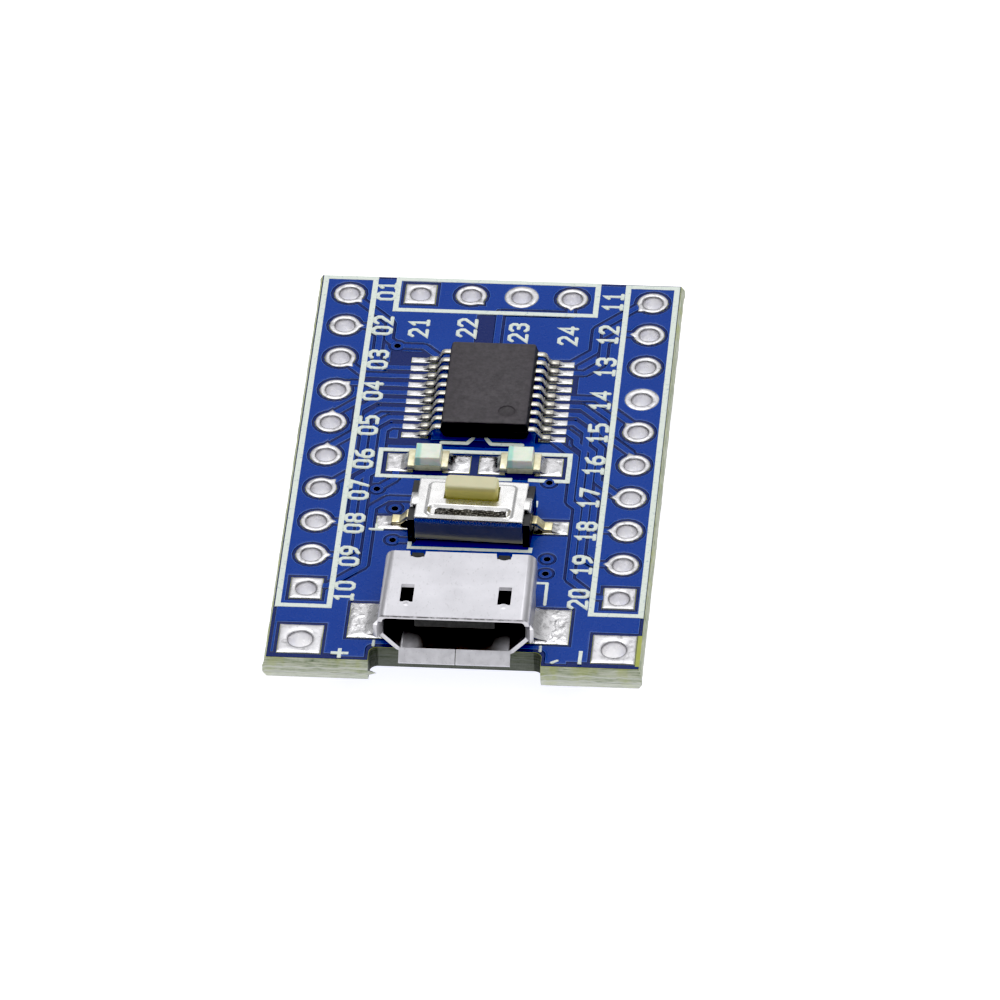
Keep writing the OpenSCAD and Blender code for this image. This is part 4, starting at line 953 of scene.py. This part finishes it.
def plated_hole(bm, top, bottom, hole, seed):
    """A tinned pad on each face and the plated wall between them, as one closed skin."""
    spots = sorted((p for e in top for p in e), key=lambda p: (round(p.x, 3), round(p.y, 3)))
    centre = hole_centre(top, hole)
    far = max(spots, key=lambda p: round((p - centre).length, 3))
    start = math.atan2(far.y - centre.y, far.x - centre.x)
    n = 64
    turns = [start + 2 * math.pi * k / n for k in range(n)]
    tops = [reach(top, centre, a) for a in turns]
    bottoms = [reach(bottom, centre, a) for a in turns]
    skin = [(0, 0), (0, 0.036), (0.05, 0.052), (0.16, 0.066), (0.4, 0.078), (0.7, 0.074), (0.88, 0.06),
            (0.97, 0.035), (1, 0)]
    rippled = 0.04
    rings = [(tops, share, laminate_top + rise, rise > rippled) for share, rise in skin]
    rings += [(tops, 1, laminate_top * (1 - depth), False) for depth in (0.12, 0.3, 0.5, 0.7, 0.88)]
    rings += [(bottoms, share, -rise, rise > rippled) for share, rise in skin[::-1]]
    wall = hole + 0.03
    made = []
    for reaches, share, z, skin_level in rings:
        ring = []
        for a, r in zip(turns, reaches):
            ripple = 0.014 * wobble(math.cos(a), math.sin(a), share * 2, 1.4, seed) if skin_level else 0
            radius = r + (hole - r) * share
            if share == 1:
                radius -= 0.014 * (0.5 + 0.5 * wobble(math.cos(a), math.sin(a), z * 3, 1.6, seed + 5))
            up = 1 if z > laminate_top / 2 else -1
            x, y = centre + radius * Vector((math.cos(a), math.sin(a)))
            ring.append((x, y, z + up * ripple))
        made.append(ring)
    made += [circle(centre, wall, z, n, start) for z in (0, laminate_top)]
    made.append(made[0])
    loft(bm, made, False, False)


def hole_centre(edges, hole):
    """Centre of the round hole in a pad, from the outline's points that lie nearest together."""
    points = [p for e in edges for p in e]
    lo, hi = box_of([(p.x, p.y, 0) for p in points])
    guess = ((lo + hi) / 2).xy
    for _ in range(6):
        near = [p for p in points if (p - guess).length < hole * 1.3]
        if not near:
            break
        lo, hi = box_of([(p.x, p.y, 0) for p in near])
        guess = ((lo + hi) / 2).xy
    return guess


def plated_holes(name, node, hole, material):
    """A tinned hole in place of each solid of a CAD node, the pads matched by their centres."""
    def at(rim):
        return tuple(round(c, 2) for c in hole_centre(rim, hole))

    tops = sorted(rims(node, pad_top, 1), key=at)
    bottoms = sorted(rims(node, laminate_top - pad_top, -1), key=at)
    bm = bmesh.new()
    for k, (a, b) in enumerate(zip(tops, bottoms)):
        plated_hole(bm, a, b, hole, 1.7 * k + len(name))
    bmesh.ops.remove_doubles(bm, verts=bm.verts, dist=1e-5)
    fix_normals(bm)
    return piece(name, bm, material, replaces=[node], sharp=60)


header_hole, power_hole = 0.5, 0.6
for row in ("left", "right", "top"):
    plated_holes(f"tinned_holes_{row}", f"header_barrels_{row}", header_hole, tin)
plated_holes("tinned_power_pads", "power_pads", power_hole, tin)


def pad_sheet(bm, lo, hi, ripple, ridge, seed, up=1, cell=0.07):
    """A pad's tin: flat in the middle, rounded at its rim, rippled or crinkled."""
    cells = (max(6, round((hi.x - lo.x) / cell)), max(6, round((hi.y - lo.y) / cell)))
    outer, inner = (hi.z, lo.z) if up > 0 else (lo.z, hi.z)

    def height(u, v, x, y):
        rim = (1 - abs(2 * u - 1) ** 10) * (1 - abs(2 * v - 1) ** 10)
        z = outer - up * 0.02 * (1 - rim)
        z += up * rim * ripple * wobble(x, y, 0, 2.1, seed)
        fold = 1 - abs(2 * wobble(x, y, 0, 1.9, seed + 3)) - 0.4 * abs(wobble(x, y, 0, 5.2, seed + 6))
        return z + up * rim * ridge * fold

    blanket(bm, lo, hi, cells, height, base=inner)


def pads(name, node, material, ripple, ridge=0.0, up=1, wide_ridge=None):
    """A tinned pad in place of each solid of a CAD node. wide_ridge replaces ridge on pads over
    a millimetre wide."""
    bm = bmesh.new()
    for k, (lo, hi) in enumerate(island_boxes(node)):
        fold = wide_ridge if wide_ridge is not None and hi.x - lo.x > 1 else ridge
        pad_sheet(bm, lo, hi, ripple, fold, 2.3 * k + len(name), up)
    fix_normals(bm)
    return piece(name, bm, material, replaces=[node], sharp=60)


pads("tinned_mcu_pads", "mcu_pads", tin, ripple=0.012)
pads("tinned_led_pads", "led_pads", solder, ripple=0.02, ridge=0.022)
pads("tinned_switch_pads", "switch_pads", solder, ripple=0.02, ridge=0.02)
pads("tinned_usb_pads", "usb_pads", crinkled_tin, ripple=0.01, ridge=0.01, wide_ridge=0.05)
pads("tinned_bottom_pads", "bottom_pads", tin, ripple=0.012, ridge=0.008, up=-1)


def joint(bm, group, up, seed):
    """A frozen solder joint: a hollow slope from the metal it wets down to its pad. Its wedge
    may be turned a little from the axes."""
    lo, hi = box_of(group)
    peak = hi.z if up > 0 else lo.z
    high = [p for p in group if abs(p.z - peak) < TINY]
    a, b = max(((p, q) for p in high for q in high), key=lambda pair: (pair[0] - pair[1]).length)
    run = (b - a).xy
    axis = 0 if abs(run.y) > abs(run.x) else 1
    turn = math.atan(-run.x / run.y) if axis == 0 else math.atan(run.y / run.x)
    middle = (lo + hi) / 2
    spin = Matrix.Translation(middle) @ Matrix.Rotation(turn, 4, "Z") @ Matrix.Translation(-middle)
    flat = [spin.inverted() @ p for p in group]
    top = [spin.inverted() @ p for p in high]
    lo, hi = box_of(flat)
    falling = abs(top[0][axis] - lo[axis]) < abs(top[0][axis] - hi[axis])
    base = lo.z if up > 0 else hi.z
    rise = abs(hi.z - lo.z)

    def height(u, v, x, y):
        along = u if falling else 1 - u
        edge = 1 - abs(2 * v - 1) ** 4
        slope = (1 - along) ** 2.1 * (0.55 + 0.45 * edge)
        lump = 0.08 * wobble(x, y, 0, 4.5, seed) * edge * along * (1 - along) * 4
        return base + up * max(0.004, rise * (slope + lump * 0.6) + 0.012 * edge)

    before = set(bm.verts)
    blanket(bm, lo, hi, (10, 8), height, axis, base)
    bmesh.ops.transform(bm, matrix=spin, verts=[v for v in bm.verts if v not in before])


def joints(name, node, up):
    """A frozen joint in place of each wedge of a CAD node."""
    bm = bmesh.new()
    for k, group in enumerate(islands(node)):
        joint(bm, group, up, 1.9 * k)
    fix_normals(bm)
    return piece(name, bm, solder, replaces=[node], sharp=50)


joints("solder_top", "solder_joints_top", 1)
joints("solder_bottom", "solder_joints_bottom", -1)


# ---------------------------------------------------------------- USB socket

def usb_socket():
    """The shell, the moulding in it and the contacts on its tongue."""
    softened("socket_shell", "usb_shell", 0.035, plated_sheet, angle=34)
    softened("socket_insulator", "usb_insulator", 0.03, inner_plastic, angle=40)
    softened("socket_contacts", "usb_contacts", 0.02, gold, steps=1)


def dome(bm, centre, r, z, h, n=28, steps=6):
    """A pressed bump: its slope is level at the rim and at the top."""
    rings = []
    for k in range(steps + 1):
        t = k / steps
        rings.append(circle(centre, r * (1 - t) + 0.012, z + h * (0.5 - 0.5 * math.cos(math.pi * t)), n))
    loft(bm, rings, False, True)


def latch_bumps():
    """The end of each latch spring is pressed up in front of its window."""
    window_x, bump_y = 2.36, -15.24
    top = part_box("usb_shell")[1].z / MM
    bm = bmesh.new()
    for side in (-1, 1):
        dome(bm, (side * window_x, bump_y), r=0.27, z=top - 0.018, h=0.034)
    return piece("latch_bumps", bm, plated_sheet, sharp=60)


usb_socket()
latch_bumps()


# ---------------------------------------------------------------- switch

def switch_place():
    """Where the switch stands: its dome's centre, turned as the long edges of its cover are."""
    lo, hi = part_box("switch_dome")
    centre = (lo + hi) / 2 / MM
    bm = from_cad("switch_cover")
    longest = max(bm.edges, key=lambda e: e.calc_length())
    run = longest.verts[1].co - longest.verts[0].co
    bm.free()
    turn = math.atan(run.y / run.x)
    return Matrix.Translation((centre.x, centre.y, 0)) @ Matrix.Rotation(turn, 4, "Z")


place = switch_place()


def own_points(node):
    """A CAD node's vertices in the switch's own frame, in millimetres."""
    back = place.inverted()
    return [back @ (v.co / MM) for v in nodes[node].data.vertices]


def levels_of(node):
    """The heights at which a CAD node has vertices, and the box of those at each."""
    points = sorted(own_points(node), key=lambda p: p.z)
    groups = [[points[0]]]
    for p in points[1:]:
        if p.z - groups[-1][-1].z < 0.005:
            groups[-1].append(p)
        else:
            groups.append([p])
    return [(group[0].z, box_of(group)) for group in groups]


def stand(bm):
    """Moves a mesh drawn in the switch's own frame onto the board."""
    bmesh.ops.transform(bm, matrix=place, verts=bm.verts)


def push_plunger():
    """The plunger: a rounded head, the flange that holds it in the cover, and its stem."""
    stem, flange_low, *_, flange_top, head = levels_of("switch_plunger")
    bm = bmesh.new()
    lo, hi = head[1]
    neck = Vector((lo.x, lo.y, flange_top[0] - 0.1))
    soft_block(bm, neck, hi, corner=0.2, edge=0.13, taper=0.015, steps=5)
    lo, hi = flange_low[1]
    soft_block(bm, lo, Vector((hi.x, hi.y, flange_top[0])), corner=0.1, edge=0.04)
    rings = [(0.36, stem[0]), (0.4, stem[0] + 0.04), (0.4, flange_low[0] + 0.05)]
    loft(bm, [circle((0, 0), r, z, 32) for r, z in rings])
    stand(bm)
    return piece("push_plunger", bm, plunger_wax, "button", ["switch_plunger"], sharp=40)


cover = levels_of("switch_cover")
skirt_foot, tab_foot, plate_under, hollow_top, trough_level, plate_top, platform_top = cover
plunger_hole = [v + 0.05 * Vector(way) for v, way in
                zip(levels_of("switch_plunger")[-1][1], ((-1, -1, 0), (1, 1, 0)))]


def cover_top(x, y):
    """Height of the pressed cover: a plate with a raised platform, and a trough sunk in that."""
    raised = ease(inside(x, y, *platform_top[1], 0.34) / 0.16)
    sunk = ease(inside(x, y, *trough_level[1], 0.28) / 0.17)
    dish = 0.012 * wobble(x, y, 0, 0.5, 6)
    return (plate_top[0] + (platform_top[0] - plate_top[0]) * raised
            - (platform_top[0] - trough_level[0]) * sunk + dish * ease(1.2 - abs(y)) - 0.006)


def lid_section(bend=0.12, thick=0.2, arc=5):
    """Rows across the cover, as outer and inner pairs of Y and Z: up the front skirt, over the
    plate and down the rear skirt."""
    half, steps = skirt_foot[1][1].y, 7
    foot, under, top = skirt_foot[0] + 0.03, plate_under[0], plate_top[0]
    hole_lo, hole_hi = plunger_hole
    rows = []
    for k in range(steps):
        z = foot + (top - bend - foot) * k / steps
        rows.append(((half, z), (half - thick, foot + (under - 0.06 - foot) * k / steps)))
    for k in range(arc):
        a = math.radians(90 * k / arc)
        y = half - bend + bend * math.cos(a)
        rows.append(((y, top - bend + bend * math.sin(a)), (half - thick, under - 0.05 * (1 - k / arc))))
    front = [((-a[0], a[1]), (-b[0], b[1])) for a, b in rows]
    flat = spaced(-half + bend, half - bend, 0.045, hole_lo.y, hole_hi.y)
    shrink = (half - thick) / (half - bend)
    middle = [((y, top), (y * shrink, under)) for y in flat]
    return front + middle + rows[::-1]


def switch_lid():
    """The cover: sheet bent down in front and behind, with a raised platform, a trough and a
    hole for the plunger."""
    bm = bmesh.new()
    rows = lid_section()
    end = skirt_foot[1][1].x
    hole_lo, hole_hi = plunger_hole
    chamfer, bending, skirt_side = 0.03, plate_top[0] - 0.1, 1.45
    places = spaced(-end + chamfer, end - chamfer, 0.05, hole_lo.x, hole_hi.x)
    columns = [(-end, chamfer)] + [(x, 0) for x in places] + [(end, chamfer)]
    hollow_lo, hollow_hi = hollow_top[1]

    def is_open(x, y):
        return hole_lo.x < x < hole_hi.x and hole_lo.y < y < hole_hi.y

    grid = []
    for x, cut in columns:
        column = []
        for (y, z), (inner_y, inner_z) in rows:
            upper = z > bending
            out = z + (cover_top(x, y) - plate_top[0] if upper else 0)
            side = -math.copysign(cut, y) if abs(y) > skirt_side else 0
            outer = bm.verts.new((x, y + side, out - (cut if upper else 0)))
            if hollow_lo.x < x < hollow_hi.x and hollow_lo.y < inner_y < hollow_hi.y:
                inner_z = hollow_top[0]
            column.append((outer, bm.verts.new((x, inner_y, inner_z))))
        grid.append(column)
    last = len(rows) - 1
    for i in range(len(grid) - 1):
        x = (grid[i][0][0].co.x + grid[i + 1][0][0].co.x) / 2
        for j in range(last):
            a, b, c, d = grid[i][j], grid[i + 1][j], grid[i + 1][j + 1], grid[i][j + 1]
            if is_open(x, (a[0].co.y + d[0].co.y) / 2):
                continue
            bm.faces.new((a[0], b[0], c[0], d[0]))
            bm.faces.new((d[1], c[1], b[1], a[1]))
        for j in (0, last):
            bm.faces.new((grid[i][j][0], grid[i + 1][j][0], grid[i + 1][j][1], grid[i][j][1]))
    partner = {v: w for column in grid for pair in column for v, w in (pair, pair[::-1])}
    outer = {pair[0] for column in grid for pair in column}
    for e in [e for e in bm.edges if e.is_boundary and e.verts[0] in outer and e.verts[1] in outer]:
        a, b = e.verts
        if hole_lo.x - 0.01 < a.co.x < hole_hi.x + 0.01 and abs(b.co.x) < end - 0.1:
            bm.faces.new((a, b, partner[b], partner[a]))
    for column in (grid[0], grid[-1]):
        for j in range(last):
            a, b = column[j], column[j + 1]
            bm.faces.new((a[0], b[0], b[1], a[1]))
    for side in (-1, 1):
        tab(bm, side)
    loose = [v for v in bm.verts if not v.link_faces]
    bmesh.ops.delete(bm, geom=loose, context="VERTS")
    fix_normals(bm)
    stand(bm)
    return piece("switch_lid", bm, cover_sheet, replaces=["switch_cover"], sharp=50)


def tab(bm, side, thick=0.2, bend=0.12, steps=5):
    """One end tab: sheet that runs out from the plate and bends down over the case."""
    reach_x = tab_foot[1][1].x
    inner_x = reach_x - 0.255
    top, under = plate_top[0] - 0.006, plate_under[0]
    foot, root = tab_foot[0], inner_x - 0.25
    profile = [(root, under + 0.03), (inner_x, under), (inner_x, foot + 0.02), (inner_x + 0.02, foot),
               (reach_x - 0.03, foot), (reach_x, foot + 0.03)]
    for k in range(steps + 1):
        a = math.radians(90 * k / steps)
        profile.append((reach_x - bend + bend * math.cos(a), top - bend + bend * math.sin(a)))
    profile.append((root, top - 0.004))
    lo, hi = tab_foot[1]
    rings = []
    for y, inset in ((lo.y, 0.03), (lo.y + 0.03, 0), (hi.y - 0.03, 0), (hi.y, 0.03)):
        cx, cz = reach_x - thick / 2, under + thick / 2
        rings.append([(side * (x - math.copysign(inset, x - cx)), y, z - math.copysign(inset, z - cz))
                      for x, z in profile])
    loft(bm, rings)


def trough_floor():
    """The rough strip at the bottom of the trough, where the press tore the plating."""
    lo, hi = (v.copy() for v in trough_level[1])
    lo.x, hi.x, lo.y, hi.y = lo.x + 0.3, hi.x - 0.16, lo.y + 0.05, hi.y - 0.08
    bm = bmesh.new()

    def height(u, v, x, y):
        worn = ease(inside(x, y, lo, hi, 0.1) / 0.1 - 0.1 + 0.5 * wobble(x, y, 0, 3.1, 7))
        rough = 0.012 + 0.014 * wobble(x, y, 0, 6.5, 2)
        return cover_top(x, y) + rough * worn - 0.03 * (1 - worn)

    blanket(bm, lo, hi, (100, 16), height, base=trough_level[0] - 0.05)
    fix_normals(bm)
    stand(bm)
    return piece("trough_floor", bm, trough_grain, sharp=70)


def snap_dome():
    """The spring dome under the plunger, on a mesh of its own; the real dome flattens as the button goes
    down.
    """
    cap = piece("snap_dome", from_cad("switch_dome"), spring_steel,
                replaces=["switch_dome"], sharp=40)
    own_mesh(cap)


softened("switch_case", "switch_base", 0.07, black_plastic, angle=40)
switch_lid()
softened("switch_legs", "switch_terminals", 0.06, brass, steps=3)
push_plunger()
trough_floor()
snap_dome()


# ---------------------------------------------------------------- microcontroller

def package_rings(lo, hi, parting, draft, corner, edge):
    """Rings of a moulded package: drafted both ways from its parting line, with soft edges."""
    centre = ((lo.x + hi.x) / 2, (lo.y + hi.y) / 2)
    w, d = hi.x - lo.x, hi.y - lo.y
    low, high = parting
    levels = [(draft + edge, lo.z), (draft + 0.3 * edge, lo.z + 0.3 * edge), (draft, lo.z + edge),
              (0.02, low - 0.02), (0.0, low), (0.0, high), (0.02, high + 0.02), (draft, hi.z - edge),
              (draft + 0.3 * edge, hi.z - 0.3 * edge), (draft + edge, hi.z)]
    rings = []
    for inset, z in levels:
        flat = rounded_rect(centre, w - 2 * inset, d - 2 * inset, corner)
        rings.append([(x, y, z) for x, y in flat])
    return rings


def lid_with_dimple(bm, ring, centre, r, depth, n=40):
    """Closes a level ring of vertices with a face that has a round shallow dimple."""
    z = ring[0].co.z
    lip = [bm.verts.new(p) for p in circle(centre, r, z, n)]
    all_verts = ring + lip
    count = len(ring)
    edges = [(i, (i + 1) % count) for i in range(count)]
    edges += [(count + i, count + (i + 1) % n) for i in range(n)]
    flat = [v.co.xy for v in all_verts]
    _, _, faces, origin, _, _ = delaunay_2d_cdt(flat, edges, [], 1, 1e-6)
    for f in faces:
        source = [origin[i][0] for i in f]
        if min(source) < count:
            bm.faces.new([all_verts[i] for i in source])
    before = lip
    for inset, drop in ((0.02, 0.008), (0.035, 0.035), (0.06, depth)):
        after = [bm.verts.new(p) for p in circle(centre, r - inset, z - drop, n)]
        bridge(bm, before, after)
        before = after
    bm.faces.new(before)


def mcu_package():
    """The microcontroller's moulding, with the dimple by its first lead."""
    lo, hi = (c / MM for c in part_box("mcu_body"))
    parting = (film_top + 0.53, film_top + 0.60)
    rings = package_rings(lo, hi, parting, draft=0.1, corner=0.1, edge=0.11)
    bm = bmesh.new()
    made = loft(bm, rings, True, False)
    dimple = ((lo.x + hi.x) / 2 + 1.05, (lo.y + hi.y) / 2 - 2.2)
    lid_with_dimple(bm, made[-1], dimple, r=0.45, depth=0.05)
    fix_normals(bm)
    return piece("mcu_package", bm, moulding, replaces=["mcu_body"], sharp=38)


def gull_wings():
    """The microcontroller's leads: formed from sheared strip, with soft bends and edges."""
    bm = bmesh.new()
    leads = island_boxes("mcu_leads")
    middle = sum((lo.x + hi.x) / 2 for lo, hi in leads) / len(leads)
    width, thick = 0.33, 0.15
    for lo, hi in leads:
        side = 1 if lo.x + hi.x > 2 * middle else -1
        toe = max(abs(lo.x - middle), abs(hi.x - middle))
        root = min(abs(lo.x - middle), abs(hi.x - middle))
        high, low = hi.z - thick / 2 + 0.005, lo.z + thick / 2
        path = [(root, high), (toe - 0.86, high), (toe - 0.78, high - 0.012), (toe - 0.7, high - 0.06),
                (toe - 0.63, high - 0.16), (toe - 0.55, low + 0.16), (toe - 0.48, low + 0.06),
                (toe - 0.39, low + 0.012), (toe - 0.3, low), (toe - 0.03, low), (toe, low)]
        rings = []
        for k, (x, z) in enumerate(path):
            before, after = path[max(k - 1, 0)], path[min(k + 1, len(path) - 1)]
            run = Vector((after[0] - before[0], after[1] - before[1])).normalized()
            shrink = 0.7 if k == len(path) - 1 else 1
            ring = []
            for u, v in rounded_rect((0, 0), width * shrink, thick * shrink, 0.055, 2):
                ring.append((middle + side * (x - run.y * v), (lo.y + hi.y) / 2 + u, z + run.x * v))
            rings.append(ring)
        loft(bm, rings)
    fix_normals(bm)
    return piece("mcu_pins", bm, lead_tin, replaces=["mcu_leads"], sharp=50)


mcu_package()
gull_wings()


# ---------------------------------------------------------------- LEDs

def blocks(name, node, material, corner, edge, taper=0.0):
    """A soft-edged block in place of each solid of a CAD node."""
    bm = bmesh.new()
    for lo, hi in outer_boxes(node):
        soft_block(bm, lo, hi, corner, edge, taper)
    return piece(name, bm, material, replaces=[node], sharp=40)


blocks("led_domes", "led_lenses", lens_epoxy, 0.06, 0.05, 0.06)
softened("led_boards", "led_substrates", 0.02, led_cream)
blocks("led_ends", "led_terminals", led_plate, 0.03, 0.03)


# ---------------------------------------------------------------- underside parts

def regulator():
    """The regulator's moulding, parted at the height of its leads."""
    lo, hi = (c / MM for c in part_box("regulator_body"))
    lead_drop = 0.87
    middle = (laminate_top - pad_top) - lead_drop
    parting = (middle - 0.03, middle + 0.03)
    rings = package_rings(lo, hi, parting, draft=0.15, corner=0.12, edge=0.06)
    bm = bmesh.new()
    loft(bm, rings)
    return piece("regulator_package", bm, moulding, replaces=["regulator_body"], sharp=38)


regulator()
softened("regulator_pins", "regulator_leads", 0.05, lead_tin)
softened("regulator_tab_metal", "regulator_tab", 0.05, lead_tin)
blocks("bulk_capacitors", "bulk_capacitor_bodies", ceramic_tan, 0.06, 0.05)
blocks("bulk_capacitor_ends", "bulk_capacitor_terminals", tin, 0.1, 0.09)
blocks("small_capacitors", "decoupling_capacitor_bodies", ceramic_pale, 0.05, 0.04)
blocks("small_capacitor_ends", "decoupling_capacitor_terminals", tin, 0.08, 0.07)
blocks("resistor_cores", "resistor_bodies", alumina, 0.02, 0.015)
blocks("resistor_coats", "resistor_overcoats", overcoat, 0.06, 0.03)
blocks("resistor_ends", "resistor_terminals", tin, 0.05, 0.045)


# ---------------------------------------------------------------- CAD nodes that stay

def paint(node, material):
    """Gives a CAD node that stays in view a node material."""
    mesh = nodes[node].data
    mesh.materials.clear()
    mesh.materials.append(material)


for node, material in (("via_barrels", via_painted_shade), ("mcu_die_paddle", copper), ("mcu_die", silicon),
                       ("mcu_bond_wires", gold), ("led_dies", die_yellow), ("led_bond_wires", gold),
                       ("regulator_die", silicon)):
    paint(node, material)


# ---------------------------------------------------------------- floor, lights and camera

def stage_floor():
    """A wide pale floor just below the part."""
    bm = bmesh.new()
    half, cells = 0.9, 6
    bmesh.ops.create_grid(bm, x_segments=cells, y_segments=cells, size=half)
    mesh = bpy.data.meshes.new("floor")
    bm.to_mesh(mesh)
    bm.free()
    f = Finish("pale_floor", Roughness=0.85, Emission_Strength=0.95)
    f.give("Emission Color", rgb(250, 250, 252))
    f.colour(f.clouded(f.noise(0.004, 2), rgb(176, 175, 172), rgb(184, 183, 180)))
    mesh.materials.append(f.material)
    floor = bpy.data.objects.new("floor", mesh)
    floor.location.z = (floor_z - 0.004) * MM
    bpy.context.scene.collection.objects.link(floor)


def softbox(name, place, size, watts, target=(0, -0.002, 0.001)):
    """An area light at a place in metres, turned to the board."""
    lamp = bpy.data.lights.new(name, "AREA")
    lamp.shape = "RECTANGLE"
    lamp.size, lamp.size_y = size
    lamp.energy = watts
    obj = bpy.data.objects.new(name, lamp)
    obj.location = place
    obj.rotation_mode = "QUATERNION"
    obj.rotation_quaternion = (Vector(target) - Vector(place)).to_track_quat("-Z", "Y")
    bpy.context.scene.collection.objects.link(obj)


def studio_air():
    """A pale surround, bright overhead and darker round the horizon in front, so that metal has
    something soft to mirror."""
    world = bpy.data.worlds.new("studio")
    bpy.context.scene.world = world
    world.use_nodes = True
    tree = world.node_tree
    back = tree.nodes["Background"]
    coords = add_node(tree, "TexCoord", {})
    split = add_node(tree, "SeparateXYZ", {0: coords.outputs["Generated"]})

    def faded(value, low, high):
        """Goes smoothly from 0 to 1 as the value goes from low to high."""
        span = {"Value": value, "From Min": low, "From Max": high, "To Min": 0.0, "To Max": 1.0}
        return add_node(tree, "MapRange", span, interpolation_type="SMOOTHSTEP").outputs["Result"]

    overhead, behind = faded(split.outputs[2], 0.28, 0.86), faded(split.outputs[1], -0.5, 0.6)
    horizon = add_node(tree, "Math", {0: behind, 1: 0.4, 2: 0.03}, operation="MULTIPLY_ADD")
    sky = add_node(tree, "Mix", {"Factor": overhead, "A": horizon.outputs[0], "B": 0.72})
    connect(tree, sky.outputs["Result"], back.inputs["Strength"])
    connect(tree, (0.98, 0.99, 1, 1), back.inputs["Color"])


def photo_camera():
    """A long lens in front of the board, looking down at about 40 degrees with a slight roll."""
    azimuth, tilt, roll = math.radians(-5.883), math.radians(39.81), math.radians(1.837)
    away, right_shift, up_shift = 547.67, 0.88314, -2.80103
    flat = Vector((math.sin(azimuth), math.cos(azimuth), 0))
    ahead = flat * math.cos(tilt) - Vector((0, 0, math.sin(tilt)))
    level = Vector((flat.y, -flat.x, 0))
    rising = level.cross(ahead)
    right = level * math.cos(roll) - rising * math.sin(roll)
    up = level * math.sin(roll) + rising * math.cos(roll)
    place = right * right_shift + up * up_shift - ahead * away + Vector((0, 0, film_top))
    camera = bpy.data.objects.new("camera", bpy.data.cameras.new("camera"))
    camera.data.sensor_width = 36
    camera.data.lens = 399.94
    camera.matrix_world = Matrix((
        (right.x, up.x, -ahead.x, place.x * MM), (right.y, up.y, -ahead.y, place.y * MM),
        (right.z, up.z, -ahead.z, place.z * MM), (0, 0, 0, 1)))
    bpy.context.scene.collection.objects.link(camera)
    bpy.context.scene.camera = camera


stage_floor()
studio_air()
softbox("overhead", (-0.06, 0.2, 0.5), (0.4, 0.36), 0.9)
softbox("fill", (0.12, -0.32, 0.44), (0.4, 0.26), 0.3)
softbox("back", (0.05, 0.42, 0.3), (0.5, 0.2), 0.17)
photo_camera()

# Deep blacks, as in a hard product photo.
view = bpy.context.scene.view_settings
view.view_transform = "Standard"
view.use_curve_mapping = True
view.curve_mapping.black_level = (0.018,) * 3
view.curve_mapping.update()
